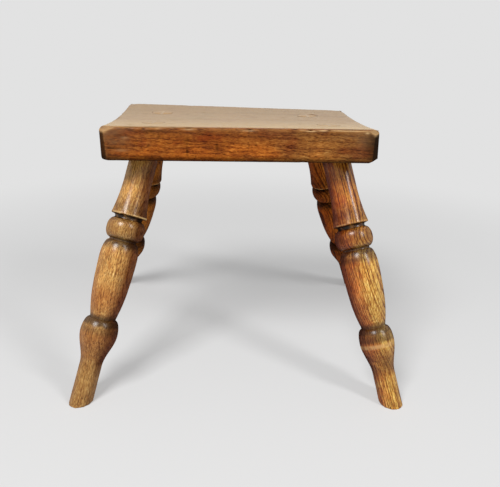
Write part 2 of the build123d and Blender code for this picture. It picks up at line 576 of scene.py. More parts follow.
@dataclass(frozen=True)
class Wood:
    """Timber with its finish: growth rings, pores, stain, and the marks of use."""

    figure: Figure
    stain: Stain
    roughness: float = 0.42
    wax: float = 0.45  # how much of the surface the polish covers
    wax_roughness: float = 0.25
    wax_index: float = 1.45  # how strongly the polish bends light
    gloss: float = 1.3  # how strongly the stained wood bends light, and so throws it back
    sheen: Colour = (1.0, 0.74, 0.46)  # the tint of the light that the stained wood itself throws back
    pore_wax: float = 0.65  # how far the dark wax fills the pores
    pore_roughness: float = 0.12  # how much duller the pores are
    fibre_height: float = 0.8  # this and the next are in tenths of a millimetre
    pore_depth: float = 1.3
    relief: float = 0.7  # how strongly the relief shows

    @staticmethod
    def begin(name: str, at: Vector, turn: Euler) -> tuple[bpy.types.Material, Tree, Value, Value]:
        """Begins the material of a piece.

        Args:
            name: the name of the material.
            at: where the timber's own axes start.
            turn: how they are turned.

        Returns:
            The material, its nodes, the place on the piece, and the same place in the timber's own axes.
        """
        material = bpy.data.materials.new(name)
        tree = Tree(material)
        place = tree.node("TexCoord", {}, {}, "Object")
        inputs = {"Vector": place, "Location": at, "Rotation": turn}
        return material, tree, place, tree.node("Mapping", {"vector_type": "TEXTURE"}, inputs)

    def grain(self, tree: Tree, local: Value) -> Grain:
        """The figure of the wood.

        Args:
            tree: the material's nodes.
            local: the place, in the timber's own axes.

        Returns:
            The grain.
        """
        figure = self.figure
        x, y, z = tree.parts(local)
        stray = tree.noise(local, figure.wander_size, 4.0, 0.6) - 0.5
        drift = tree.noise(local, figure.wander_size * figure.drift_size, 1.0) - 0.5
        out_x = x - figure.pith[0] - z * figure.lean[0] + drift * (4 * figure.wander)
        out_y = y - figure.pith[1] - z * figure.lean[1] + stray * (2 * figure.wander)
        years = (out_x * out_x + out_y * out_y) ** 0.5 / figure.ring
        inputs = {"W": years * figure.change, "Scale": 1.0, "Detail": 1.0}
        uneven = tree.node("TexNoise", {"noise_dimensions": "1D"}, inputs)
        early = tree.ramp((years + uneven * figure.unevenness) % 1.0, figure.openness)
        fibre = tree.noise(local, figure.fibre, 3.0, 0.6)
        fleck = tree.noise(local, figure.fleck, 3.0, 0.65)
        cell = tree.noise(local, figure.pore, 2.0, 0.5)
        cloud = tree.noise(local, figure.cloud, 3.0, 0.6)
        streak = tree.noise(local, figure.streak, 2.0, 0.6)
        pores = tree.between(cell + early * 0.10, *figure.pore_reach)
        tone = figure.mean_tone - early * (drift * 2.2 + 1.0) * figure.ring_strength + (fibre - 0.5) * 0.5
        tone = tone + (fleck - 0.5) * figure.fleck_strength + (cloud - 0.5) * figure.cloud_strength
        return Grain(tone + (streak - 0.5) * figure.streak_strength, pores, fibre)

    def paint(self, tree: Tree, tone: Value, pores: Value) -> Value:
        """The colour of the stained wood, before dirt and wear, with dark wax in its pores."""
        return tree.cover(pores * self.pore_wax, tree.ramp(tone, self.stain.by_tone), self.stain.pore)

    def height(self, grain: Grain) -> Value:
        """How high the surface stands, in tenths of a millimetre."""
        return grain.fibre * self.fibre_height - grain.pores * self.pore_depth

    def shader(self, tree: Tree, shade: Value, rough: Value, wax: Value, height: Value) -> Value:
        """The waxed surface: a dull stained wood under a thin polish.

        Args:
            tree: the material's nodes.
            shade: its colour.
            rough: the roughness of the wood.
            wax: how much polish lies on it.
            height: how high it stands, in tenths of a millimetre.

        Returns:
            The shader.
        """
        bump = tree.node("Bump", {}, {"Height": height, "Distance": 0.1 * MM, "Strength": self.relief})
        inputs = {
            "Base Color": shade,
            "Roughness": rough,
            "IOR": self.gloss,
            "Specular Tint": (*self.sheen, 1),
            "Coat Weight": wax,
            "Coat Roughness": self.wax_roughness,
            "Coat IOR": self.wax_index,
            "Normal": bump,
        }
        return tree.node("BsdfPrincipled", {}, inputs)


@dataclass(frozen=True)
class BoardPoint:
    """What the finish of the seat goes by at each point: its place, the way it faces, patches and marks."""

    x: Value
    y: Value
    z: Value
    on_top: Value
    off_top: Value
    under: Value
    end_grain: Value
    end_face: Value  # the flat of an end, without its rounded arrises
    blotch: Value
    chips: Value
    patch: Value
    trail: Value
    ragged: Value  # how far the edge of a patch strays, up or down
    worn: Value
    grime: Value
    bare: Value
    front_strip: Value  # the strip of the top along the front arris, stronger towards the right


@dataclass(frozen=True)
class BoardWood(Wood):
    """The finish of the seat: a board with its grain along X, dark at the ends and rubbed pale on top."""

    board: SeatBoard = field(kw_only=True)
    pore_depth: float = 1.4
    red_cast: Colour = colour(212, 140, 108)  # the casts multiply the stain, here and there
    glow: Colour = (1.5, 1.35, 1.1)
    tawny_cast: Colour = (0.97, 1.34, 2.4)
    sawn_cast: Colour = (0.34, 0.34, 0.34)
    haze: Colour = colour(76, 50, 30)
    greyed: Colour = colour(118, 88, 62)
    sawn: Colour = colour(50, 28, 10)
    # the colour of the painted light on the top towards the front
    painted_front_light: Colour = colour(212, 177, 116)
    # the colour of dirt in trails on the top and of the painted shade towards its back
    soil_and_shade: Colour = colour(96, 76, 50)
    bare: Colour = colour(214, 178, 128)

    def make(self, name: str) -> bpy.types.Material:
        """Builds the material.

        Args:
            name: its name.

        Returns:
            The material.
        """
        along_x = Euler((0, math.pi / 2, 0))
        material, tree, place, local = self.begin(name, self.board.centre, along_x)
        grain = self.grain(tree, local)
        at = self.study(tree, place)
        sawn = at.end_grain * (1 - at.worn * 0.75) * 0.97
        dirt_and_shade = self.find_dirt_and_shade(tree, at)
        shade = self.paint(tree, grain.tone + (at.blotch - 0.5) * 0.6, grain.pores)
        shade = self.stain_sides(tree, at, shade)
        shade = tree.tint(sawn, shade, self.sawn_cast)
        shade = tree.cover(sawn * 0.5, shade, self.sawn)
        rubbed = tree.between(at.blotch * 0.4 + at.chips * 0.6 + (grain.fibre - 0.5) * 0.6, 0.38, 0.56)
        shade = tree.cover(at.worn * rubbed * at.off_top * 0.72, shade, self.stain.worn)
        shade = self.rub_top(tree, at, shade, grain)
        # dirt, with painted shade along the lower arris
        shade = tree.cover(dirt_and_shade, shade, self.stain.dirt_and_shade)
        shade = tree.cover(at.bare * at.off_top * 0.9, shade, self.bare)
        rough = self.roughness + grain.pores * self.pore_roughness + tree.most(dirt_and_shade, sawn) * 0.4
        wax = self.wax + at.on_top * 0.3 - (dirt_and_shade + sawn) * 0.4 - grain.pores * 0.2
        wax = tree.most(wax - at.front_strip * at.on_top * 0.45, 0.0)
        tree.end(self.shader(tree, shade, rough, wax, self.height(grain)))
        return material

    def study(self, tree: Tree, place: Value) -> BoardPoint:
        """Works out what the finish goes by.

        Args:
            tree: the material's nodes.
            place: the place on the board.

        Returns:
            What is known of each point.
        """
        x, y, z = tree.parts(place)
        facing_x, _, facing_z = tree.parts(tree.node("NewGeometry", {}, {}, "Normal"))
        blotch = tree.noise(place, Vector((30, 30, 14)) * MM, 3.0, 0.6)
        chips = tree.noise(place, Vector((9, 6, 3)) * MM, 2.0, 0.6)
        on_top = tree.between(facing_z, 0.78, 0.985)
        forwards = y * -1.0 + (chips - 0.5) * (6 * MM)
        front = self.board.depth / 2
        front_strip = tree.between(forwards, front - 18 * MM, front - 8 * MM)
        return BoardPoint(
            x=x,
            y=y,
            z=z,
            on_top=on_top,
            off_top=1 - on_top,
            under=tree.between(facing_z * -1.0, 0.05, 0.8),
            end_grain=tree.between(abs(facing_x), 0.34, 0.60),
            end_face=tree.between(abs(facing_x), 0.80, 0.97),
            blotch=blotch,
            chips=chips,
            patch=tree.noise(place, Vector((46, 40, 30)) * MM, 3.0, 0.55),
            trail=tree.noise(place, Vector((70, 10, 30)) * MM, 3.0, 0.6),
            ragged=(blotch - 0.5) * (30 * MM),
            worn=tree.mark("worn"),
            grime=tree.mark("grime"),
            bare=tree.mark("bare"),
            front_strip=front_strip * (0.5 + tree.between(x, -140 * MM, 0.0) * 0.5),
        )

    def find_dirt_and_shade(self, tree: Tree, at: BoardPoint) -> Value:
        """Dirt underneath, at the right end and in the knocks, and painted shade along the lower arris.

        Args:
            tree: the material's nodes.
            at: what is known of each point.

        Returns:
            The dirt and painted shade, from 0 to 1.
        """
        end = self.board.width / 2
        below = self.board.underside - at.z + at.ragged * 0.2
        # painted shade along the lower arris, whose faces turn down
        lower_arris_shade = tree.between(below, -9.5 * MM, -1 * MM) * at.off_top * 0.7
        corner = tree.between(at.x + (at.blotch - 0.5) * (20 * MM), end - 24 * MM, end - 2 * MM)
        corner = corner * at.off_top * 0.8 * (1 - at.worn * 0.6) * (1 - at.end_face * 0.75)
        return tree.most(at.under * 0.9, lower_arris_shade, corner, at.grime * (0.7 + at.chips * 0.6))

    def stain_sides(self, tree: Tree, at: BoardPoint, shade: Value) -> Value:
        """Makes the edges uneven: red and glowing patches, tawny to the right, and hazy and grey at the ends.

        Args:
            tree: the material's nodes.
            at: what is known of each point.
            shade: the colour so far.

        Returns:
            The colour.
        """
        end = self.board.width / 2
        top = self.board.height
        near_end = abs(at.x) + (at.blotch - 0.5) * (100 * MM)
        near_end = tree.between(near_end, end - 65 * MM, end + 12 * MM)
        right_end = at.x + (at.blotch - 0.5) * (80 * MM)
        right_end = tree.between(right_end, end - 55 * MM, end - 2 * MM)
        high = tree.between(at.z + at.ragged, top - 19 * MM, top)
        higher = tree.between(at.z + at.ragged, top - 30 * MM, top - 8 * MM)
        low = tree.between(top - self.board.thickness * 0.45 - at.z + at.ragged, -8 * MM, 12 * MM)
        reddish = tree.between(at.patch, 0.50, 0.64) * at.off_top * 0.62
        glowing = tree.between(1 - at.patch, 0.46, 0.62) * low * at.off_top
        tawny = tree.between(at.x + (at.patch - 0.5) * (200 * MM), -20 * MM, 110 * MM) * at.off_top
        haze = tree.most(near_end * 0.6, high * 0.45, right_end * 0.6) * at.off_top
        shade = tree.tint(reddish, shade, self.red_cast)
        shade = tree.tint(glowing * 0.6, shade, self.glow)
        shade = tree.tint(tawny, shade, self.tawny_cast)
        shade = tree.cover(haze, shade, self.haze)
        return tree.cover(near_end * higher * at.off_top * 0.5, shade, self.greyed)

    def rub_top(self, tree: Tree, at: BoardPoint, shade: Value, grain: Grain) -> Value:
        """Rubs the top bare, paints light at its front and shade at its back, and soils it in trails.

        Args:
            tree: the material's nodes.
            at: what is known of each point.
            shade: the colour so far.
            grain: the grain.

        Returns:
            The colour.
        """
        sat_on = 0.80 + (grain.fibre - 0.5) * 0.6 + (at.blotch - 0.5) * 0.5
        sat_on = at.on_top * (sat_on + (at.trail - 0.5) * 0.7 + (grain.tone - 0.5) * 0.3)
        # painted light: the top lighter towards the front
        forwards = at.on_top * tree.between(at.y * -1.0, 0.0, 110 * MM) * (1 - at.front_strip)
        # painted shade: the top darker towards the back
        backwards = tree.between(at.y, -110 * MM, 120 * MM)
        trails = tree.between(at.trail + at.blotch, 1.0, 1.25)
        shade = tree.cover(sat_on * (1 - at.front_strip * 0.8), shade, SEAT_TOP)
        shade = tree.cover(forwards * 0.45, shade, self.painted_front_light)
        return tree.cover(at.on_top * (backwards * 0.27 + trails * 0.18), shade, self.soil_and_shade)


@dataclass(frozen=True)
class Band:
    """A stretch of a leg with a finish of its own, in millimetres above the shoulder."""

    low: float
    high: float
    soft: float  # how far each end fades, both ways
    amount: float  # how strong it is


@dataclass(frozen=True)
class LegPoint:
    """What the finish of a leg goes by at each point: its parts, the marks of use and painted shade, each
    from 0 to 1.
    """

    along: Value  # the height above the shoulder, in metres
    crown: Value  # the end of the tenon that shows in the top of the seat
    below: Value  # all the rest
    # dirt, with painted shade over the bead and painted shadow under the seat
    dirt_and_shade: Value
    wear: Value
    rubbed: Value
    warm: Value
    ruddy: Value
    # painted shade on the sides that face away from the lit side
    painted_shade: Value
    joint: Value
    edge_on: Value  # where the surface is seen at a low angle


@dataclass(frozen=True)
class TurnedWood(Wood):
    """The finish of a leg: grain up it, dirt and painted shade in its grooves, and its arrises rubbed pale.
    """

    # bands of dirt, and of painted shade over the bead and painted shadow under the seat
    dirt_and_shade: tuple[Band, ...] = ()
    wear: tuple[Band, ...] = ()  # where the stain has gone
    rubbed: tuple[Band, ...] = ()  # where it has grown lighter
    warm: tuple[Band, ...] = ()
    ridge: float = 1.1 * MM  # from one ridge that the gouge left to the next
    ridge_height: float = 0.12  # in tenths of a millimetre
    ruddy: float = 0.0  # the way that the redder side of the leg faces, in degrees round its axis
    ruddy_strength: float = 0.0
    lit_side: float = 270.0  # the way that the lit side faces, in degrees round the axis; the other sides get painted shade
    painted_shade_strength: float = 0.0  # how much painted shade darkens the leg on its other sides
    crown: float = 1.0  # how far above the shoulder the tenon comes out of the seat
    tenon_radius: float = 15 * MM
    joint: float = 0.2  # how dark the joint round the tenon is
    # the colour that the painted shade multiplies the far sides by
    painted_shade_cast: Colour = colour(130, 80, 40)
    ruddy_cast: Colour = colour(232, 150, 110)
    warm_cast: Colour = (0.97, 0.71, 0.49)
    rubbed_cast: Colour = (1.45, 1.45, 1.4)

    def make(self, name: str, shoulder: Matrix) -> bpy.types.Material:
        """Builds the material of one leg.

        Args:
            name: its name.
            shoulder: the place of the leg's shoulder, its Z up the leg.

        Returns:
            The material.
        """
        material, tree, _, local = self.begin(name, shoulder.to_translation(), shoulder.to_euler())
        grain = self.grain(tree, local)
        at = self.study(tree, local, grain)
        shade = self.paint(tree, grain.tone, grain.pores)
        # painted shade: the sides that face away from the lit side are darkened
        shade = tree.tint(at.painted_shade, shade, self.painted_shade_cast)
        shade = tree.tint(at.ruddy, shade, self.ruddy_cast)
        shade = tree.tint(at.warm, shade, self.warm_cast)
        shade = tree.tint(at.rubbed, shade, self.rubbed_cast)
        shade = tree.cover(at.wear, shade, self.stain.worn)
        # dirt in the grooves, painted shade over the bead and painted shadow under the seat
        shade = tree.cover(at.dirt_and_shade, shade, self.stain.dirt_and_shade)
        shade = tree.cover(at.crown * (0.74 + (grain.fibre - 0.5) * 0.5), shade, SEAT_TOP)
        shade = tree.cover(at.joint * self.joint, shade, self.stain.dirt_and_shade)
        rough = self.roughness + grain.pores * self.pore_roughness + at.dirt_and_shade * 0.05
        rough = rough + at.painted_shade * 0.12 + at.edge_on * 0.35
        wax = self.wax - grain.pores * 0.3 - at.dirt_and_shade * 0.3 - at.painted_shade * 0.8
        wax = tree.most(wax * (1 - at.edge_on * 0.9) * at.below + at.crown * 0.5, 0.0)
        ridges = tree.maths("SINE", at.along * (FULL_TURN / self.ridge))
        height = self.height(grain) + ridges * self.ridge_height
        tree.end(self.shader(tree, shade, rough, wax, height))
        return material

    def study(self, tree: Tree, local: Value, grain: Grain) -> LegPoint:
        """Works out what the finish goes by.

        Args:
            tree: the material's nodes.
            local: the place, in the leg's own axes.
            grain: the grain.

        Returns:
            What is known of each point.
        """
        x, y, along = tree.parts(local)
        cloud = tree.noise(local, Vector((16 * MM, 16 * MM, 16 * MM)), 3.0, 0.6)
        patchy = tree.between(cloud + (grain.fibre - 0.5) * 0.4, 0.34, 0.56)
        ragged = along + (cloud - 0.5) * (6 * MM)
        crown = tree.between(along, self.crown - 12 * MM, self.crown - 8 * MM)
        below = 1 - crown
        out = (x * x + y * y + 1e-9) ** 0.5  # never 0, because it divides
        ruddy_side = self.towards(x, y, self.ruddy) + (cloud - 0.5) * (30 * MM)
        # painted shade: the further a side faces from the lit side, the darker it is, and less so at the foot
        facing = self.towards(x, y, self.lit_side) / out
        away = tree.between(1 - facing + (cloud - 0.5) * 0.5, 0.15, 0.95) * self.painted_shade_strength * below
        low_angle = tree.node("LayerWeight", {}, {"Blend": 0.5}, "Facing")
        return LegPoint(
            along=along,
            crown=crown,
            below=below,
            dirt_and_shade=self.bands(tree, ragged, self.dirt_and_shade) * tree.between(cloud, 0.2, 0.5) * below,
            wear=self.bands(tree, along, self.wear) * patchy,
            rubbed=self.bands(tree, ragged, self.rubbed) * patchy,
            warm=self.bands(tree, ragged, self.warm),
            ruddy=tree.between(ruddy_side, 2 * MM, 22 * MM) * self.ruddy_strength,
            painted_shade=away * (0.45 + tree.between(along, -225 * MM, -195 * MM) * 0.55),
            joint=tree.between(out, self.tenon_radius - 2.2 * MM, self.tenon_radius) * crown,
            edge_on=tree.between(low_angle, 0.35, 0.9) * below,
        )

    @staticmethod
    def towards(x: Value, y: Value, degrees: float) -> Value:
        """How far each point lies from the axis towards one side."""
        angle = math.radians(degrees)
        return x * math.cos(angle) + y * math.sin(angle)

    @staticmethod
    def bands(tree: Tree, along: Value, bands: tuple[Band, ...]) -> Value:
        """The strength of some bands, the strongest where they overlap.

        Args:
            tree: the material's nodes.
            along: the height above the shoulder.
            bands: the bands.

        Returns:
            Their strength at each height.
        """
        total = along * 0.0
        for band in bands:
            low, high, soft = (length * MM for length in (band.low, band.high, band.soft))
            rise = tree.between(along, low - soft, low + soft)
            fall = tree.between(along, high - soft, high + soft)
            total = tree.most(total, (rise - fall) * band.amount)
        return total


SEAT_TOP = colour(181, 149, 101)  # the colour of bare wood, rubbed by use, on top of the seat
ELM_STAIN = Stain(
    pore=colour(56, 20, 5),
    early=colour(90, 38, 9),
    middle=colour(127, 64, 16),
    late=colour(157, 89, 28),
    bright=colour(194, 128, 54),
    dirt_and_shade=colour(17, 10, 4),
    worn=colour(168, 116, 64),
)
ASH_STAIN = Stain(
    pore=colour(54, 24, 6),
    early=colour(106, 56, 17),
    middle=colour(154, 103, 45),
    late=colour(195, 149, 81),
    bright=colour(237, 206, 142),
    dirt_and_shade=colour(26, 13, 6),
    worn=colour(222, 184, 124),
)
RED_STAIN = Stain(
    pore=colour(50, 18, 4),
    early=colour(100, 46, 8),
    middle=colour(160, 104, 32),
    late=colour(210, 168, 84),
    bright=colour(248, 225, 155),
    dirt_and_shade=colour(26, 13, 6),
    worn=colour(222, 176, 116),
)
# the back legs' stain, darker because they stand in the seat's shade: partly painted shade
BACK_STAIN_AND_SHADE = Stain(
    pore=colour(28, 9, 3),
    early=colour(70, 29, 7),
    middle=colour(124, 66, 17),
    late=colour(166, 100, 34),
    bright=colour(194, 128, 54),
    dirt_and_shade=colour(22, 11, 6),
    worn=colour(176, 130, 80),
)
OAK_STAIN = Stain(
    pore=colour(50, 24, 10),
    early=colour(96, 56, 24),
    middle=colour(128, 80, 36),
    late=colour(150, 100, 50),
    bright=colour(178, 128, 70),
    dirt_and_shade=colour(40, 24, 14),
    worn=colour(190, 150, 96),
)

# ----------------------------------------------------------------- seat ----


@dataclass(frozen=True)
class Knock:
    """A dent or a split in the seat."""

    middle: Vector
    reach: Vector
    depth: float
    dark: float  # how much dirt it holds
    bare: float = 0.0  # how much bare wood it shows

    def weigh(self, places: np.ndarray) -> np.ndarray:
        """Its share of its depth at each place."""
        away = (places - np.array(self.middle)) / np.array(self.reach)
        return np.exp(-(away**2).sum(axis=1))


@dataclass(frozen=True)
class FrontKnock:
    """A knock on the front of the seat, in millimetres from the middle of the top arris."""

    x: float
    down: float
    along: float  # how far it reaches along the arris
    high: float  # how far it reaches up and down
    depth: float
    dark: float = 0.0
    bare: float = 0.0
    back: float = 0.0  # how far behind the front it lies

    def on(self, board: SeatBoard) -> Knock:
        """The knock at its place.

        Args:
            board: the seat.

        Returns:
            The knock, in metres.
        """
        on_the_top = self.back > 4
        across = 4.5 if on_the_top else 3.5
        middle = Vector((self.x * MM, -board.depth / 2 + self.back * MM, board.height - self.down * MM))
        reach = Vector((self.along, across, self.high)) * MM
        return Knock(middle, reach, self.depth * MM, self.dark, self.bare)


FRONT_KNOCKS = (
    FrontKnock(12, 0.9, 2.6, 2.0, 2.2, dark=1.0, back=3.5),
    FrontKnock(10, 3.0, 8, 1.2, 0.9, bare=0.35),
    FrontKnock(88, 0.8, 3.8, 1.5, 1.5, dark=1.0, back=5),
    FrontKnock(89, 2.4, 6, 0.8, 0.2, bare=1.0, back=0.4),
    FrontKnock(78, 0.9, 3, 1.0, 0.4, bare=1.0, back=2.4),
    FrontKnock(69, 0.8, 4, 1.1, 0.8, dark=0.7, back=5),
    FrontKnock(104, 1.6, 6, 0.9, 0.3, bare=0.9, back=1),
    FrontKnock(112, 0.9, 2.4, 1.3, 0.9, dark=0.8, back=5),
    FrontKnock(141, 0.5, 23, 1.3, 0.5, dark=0.8, back=7.5),
    FrontKnock(137, 1.2, 26, 1.0, 0.1, bare=0.9, back=1.4),
    FrontKnock(160, 3.8, 2.6, 1.2, 0.4, bare=0.7),
    FrontKnock(-64, 0.5, 7, 1.0, 0.7, dark=0.75, back=6),
    FrontKnock(-64, 2.9, 6, 0.8, 0.2, bare=0.5),
    FrontKnock(-102, 2.0, 3.4, 0.9, 0.3, bare=0.4),
    FrontKnock(-111, 5.5, 2.4, 1.3, 0.6, dark=0.7),
    FrontKnock(-116, 7.6, 2.0, 1.3, 0.4, dark=0.6),
    FrontKnock(-107, 8.4, 2.0, 1.3, 0.3, dark=0.5),
    FrontKnock(-120, 3.0, 3.0, 1.5, 0.8, dark=0.5),
    FrontKnock(-109, 0.5, 9, 1.2, 0.6, dark=0.65, back=6),
    FrontKnock(-139, 0.5, 7, 1.2, 0.5, dark=0.5, back=6),
    FrontKnock(-101, 12, 2.4, 1.3, 0.2, dark=0.45),
    FrontKnock(-66, 30, 1.5, 9, 0.35, dark=0.6),
    FrontKnock(-66, 17, 4.5, 4.5, 0.2, dark=0.3),
    FrontKnock(-28.5, 24, 1.4, 6, 0.3, dark=0.5),
    FrontKnock(-160, 27, 7, 1.2, 0.4, dark=0.6),
    FrontKnock(-149, 30, 8, 1.5, 0.1, bare=0.2),
    FrontKnock(-149, 11.5, 8, 1.6, 0.2, dark=0.4),
    FrontKnock(-143, 14, 5, 1.3, 0.1, bare=0.2),
    FrontKnock(-22, 0.8, 5, 1.1, 0.5, dark=0.5, back=5),
    FrontKnock(38, 0.6, 6, 1.1, 0.5, dark=0.5, back=6),
    FrontKnock(-84, 0.6, 5, 1.1, 0.5, dark=0.5, back=6),
)


@dataclass(frozen=True)
class CornerCut:
    """A front corner that was cut or broken off aslant.

    The reach is along the front edge, back along the end and down the upright corner. A negative reach down
    is one upwards: an upright cut that comes to nothing far above the board widens slowly downwards.
    """

    side: int  # -1 left, 1 right
    reach: Vector
    below: bool = False  # whether it is measured from the underside, and not from the top

    def plane(self, board: SeatBoard) -> tuple[Vector, Vector]:
        """The plane of the cut.

        Args:
            board: the seat.

        Returns:
            A point of the cut and its outward normal.
        """
        along, back, down = self.reach
        level = board.underside if self.below else board.height
        corner = Vector((self.side * board.width / 2, -board.depth / 2, level - down))
        return corner, Vector((self.side / along, -1 / back, 1 / down)).normalized()

    def away(self, board: SeatBoard, places: np.ndarray) -> np.ndarray:
        """How far each place is from the plane of the cut."""
        point, normal = self.plane(board)
        return np.abs((places - np.array(point)) @ np.array(normal))


@dataclass
class SeatBoard:
    """The seat: a plank, hollowed from front to back, that has moved out of true and has worn arrises."""

    width: float = 353 * MM
    depth: float = 250 * MM
    thickness: float = 42.5 * MM
    height: float = 352 * MM
    left_hollow: float = 6.5 * MM
    right_hollow: float = 3.8 * MM
    back_left_rise: float = 5.0 * MM
    back_right_drop: float = 1.2 * MM
    left_skew: float = 8.0 * MM
    right_skew: float = 4.5 * MM
    left_swell: float = 1.2 * MM  # how much thicker the left end is, on the underside
    right_flare: float = 2 * MM  # how far the right end leans out at the bottom
    back_corner: float = 3.5 * MM
    corner_soft: float = 0.9 * MM
    top_arris: float = 3.5 * MM
    bottom_arris: float = 3 * MM
    left_upright: CornerCut = CornerCut(-1, Vector((6, 6, -95)) * MM)
    right_upright: CornerCut = CornerCut(1, Vector((6, 6, -160)) * MM)
    broken_above: tuple[CornerCut, ...] = (
        CornerCut(-1, Vector((23, 16, 9.6)) * MM),
        CornerCut(1, Vector((15.5, 10, 10.5)) * MM),
    )
    broken_below: tuple[CornerCut, ...] = (
        CornerCut(-1, Vector((9, 8, -6)) * MM, below=True),
        CornerCut(1, Vector((11.5, 30, -6.5)) * MM, below=True),
    )

    bore_radius: float = 15.25 * MM
    bore_facets: int = 112

    columns_each_half: int = 139
    end_columns: tuple[float, ...] = (0 * MM, 2 * MM, 4 * MM, 6 * MM)  # in from each end
    row_step: float = 5 * MM
    front_rows: tuple[float, ...] = (4.2 * MM, 5.8 * MM, 6.7 * MM, 7.6 * MM, 8.7 * MM)  # behind the front
    fine_step: float = 0.6 * MM
    fine_reach: float = 7 * MM  # how far below the top the levels are fine
    coarse_step: float = 1.5 * MM

    unevenness: float = 0.3 * MM
    arris_wear: float = 1.0 * MM
    arris_chips: float = 0.6 * MM
    back_corner_wear: float = 1.3 * MM
    front_knocks: tuple[FrontKnock, ...] = FRONT_KNOCKS
    knocks_on_edges: int = 46
    knocks_on_top: int = 26
    seed: int = 11

    @property
    def underside(self) -> float:
        """The height of the underside."""
        return self.height - self.thickness

    @property
    def centre(self) -> Vector:
        """The middle of the board."""
        return Vector((0, 0, self.height - self.thickness / 2))

    def top_height(self, x: Numbers, y: Numbers) -> Numbers:
        """The height of the top.

        Args:
            x: where, to the right.
            y: where, to the back.

        Returns:
            The height over that point of the floor, or over each of them.
        """
        rightwards = x / self.width + 0.5
        backwards = y / self.depth + 0.5
        back_change = self.back_left_rise * (1 - rightwards) - self.back_right_drop * rightwards
        hollow = self.left_hollow * (1 - rightwards) + self.right_hollow * rightwards
        return self.height + back_change * backwards - hollow * (1 - (2 * y / self.depth) ** 2)

    def top_normal(self, x: float, y: float) -> Vector:
        """The way that the top faces.

        Args:
            x: where, to the right.
            y: where, to the back.

        Returns:
            The upward normal.
        """
        here = self.top_height(x, y)
        slope_x = (self.top_height(x + MM, y) - here) / MM
        slope_y = (self.top_height(x, y + MM) - here) / MM
        return Vector((-slope_x, -slope_y, 1)).normalized()

    def build(self, legs: list[LegPlace]) -> Bench:
        """Makes the board.

        Args:
            legs: the legs, for whose tenons it is bored.

        Returns:
            The finished board.
        """
        board = self.plank()
        self.rule(board)
        self.wear_down(board)
        self.knock_about(board)
        self.bore(board, legs)
        board.smooth(40)
        return board

    def plank(self) -> Bench:
        """Saws the plank, out of true as it is now, with its corners and arrises rounded.

        Returns:
            The plank.
        """
        Bench.clear()
        size = (self.width, self.depth, self.thickness)
        bpy.ops.mesh.primitive_cube_add(size=1, location=self.centre, scale=size)
        board = Bench.active("seat")
        board.settle()
        middle = self.centre.z
        with board.opened():
            for side, skew, rise in (
                (-1, self.left_skew, self.back_left_rise),
                (1, self.right_skew, -self.back_right_drop),
            ):
                board.pick_vertices(lambda place: place.y > 0 and place.x * side > 0)
                bpy.ops.transform.translate(value=(-skew, 0, 0))
                board.pick_vertices(lambda place: place.y > 0 and place.x * side > 0 and place.z > middle)
                bpy.ops.transform.translate(value=(0, 0, rise))
            board.pick_vertices(lambda place: place.x < 0 and place.z < middle)
            bpy.ops.transform.translate(value=(0, 0, -self.left_swell))
            board.pick_vertices(lambda place: place.x > 0 and place.z < middle)
            bpy.ops.transform.translate(value=(self.right_flare, 0, 0))
        with board.opened():
            for cut in (self.left_upright, self.right_upright):
                board.saw(*cut.plane(self), Keep.BEHIND)
        with board.opened(Kind.EDGE):
            board.pick_edges(lambda one, two: abs(one.z - two.z) > self.thickness / 2 and one.y > 0)
            bpy.ops.mesh.bevel(offset=self.back_corner, segments=1, clamp_overlap=False)
            board.pick_edges(lambda one, two: abs(one.z - two.z) > self.thickness / 2)
            bpy.ops.mesh.bevel(offset=self.corner_soft, segments=3, clamp_overlap=False)
            board.pick_edges(lambda one, two: min(one.z, two.z) > middle)
            bpy.ops.mesh.bevel(offset=self.top_arris, segments=6, clamp_overlap=False)
            board.pick_edges(lambda one, two: max(one.z, two.z) < middle)
            bpy.ops.mesh.bevel(offset=self.bottom_arris, segments=5, clamp_overlap=False)
        with board.opened():
            for cut in (*self.broken_above, *self.broken_below):
                board.saw(*cut.plane(self), Keep.BEHIND)
        return board

    def rule(self, board: Bench) -> None:
        """Divides the board into levels, rows and columns, so that it can be hollowed and dented.

        Args:
            board: the plank.
        """
        half = self.depth / 2
        rows = np.arange(-half + self.row_step, half, self.row_step)
        front_rows = -half + np.array(self.front_rows)
        fine = np.arange(self.height - self.fine_reach, self.height - MM, self.fine_step)
        coarse_top = self.height - self.fine_reach - MM
        coarse = np.arange(self.underside + self.coarse_step, coarse_top, self.coarse_step)
        ends = self.width / 2 - np.array(self.end_columns)
        with board.opened():
            for level in (*coarse, *fine):
                board.saw(UPWARDS * level, UPWARDS)
            for row in (*rows, *front_rows):
                board.saw(BACKWARDS * row, BACKWARDS)
            for column in (*-ends, 0, *ends):
                board.saw(RIGHTWARDS * column, RIGHTWARDS)
        with board.opened(Kind.EDGE):
            board.pick_edges(lambda one, two: abs(one.x - two.x) > self.width / 4)
            bpy.ops.mesh.subdivide(number_cuts=self.columns_each_half)

    def wear_down(self, board: Bench) -> None:
        """Hollows the top, makes the faces a little uneven and wears the arrises and back corners.

        Args:
            board: the ruled plank.
        """
        board.press(self.left_hollow, self.hollowing, Way.DOWN)
        board.press(self.unevenness, everywhere, mottle=50 * MM)
        board.press(self.arris_wear, lambda places: bell(self.from_arris(places), 4 * MM), mottle=13 * MM)
        board.press(self.arris_chips, lambda places: bell(self.from_edge(places), 3 * MM), mottle=4 * MM)
        board.press(self.back_corner_wear, self.near_back_corners, Way.DOWN)

    def knock_about(self, board: Bench) -> None:
        """Marks where the board is dirty, bare and worn, and then presses its knocks in.

        Args:
            board: the worn board.
        """
        knocks = self.list_knocks()
        deepest = 2 * max(knock.depth for knock in knocks)  # more than knocks that overlap come to

        def grime(places: np.ndarray) -> np.ndarray:
            """The darkest knock at each place."""
            return np.max([knock.dark * knock.weigh(places) for knock in knocks], axis=0)

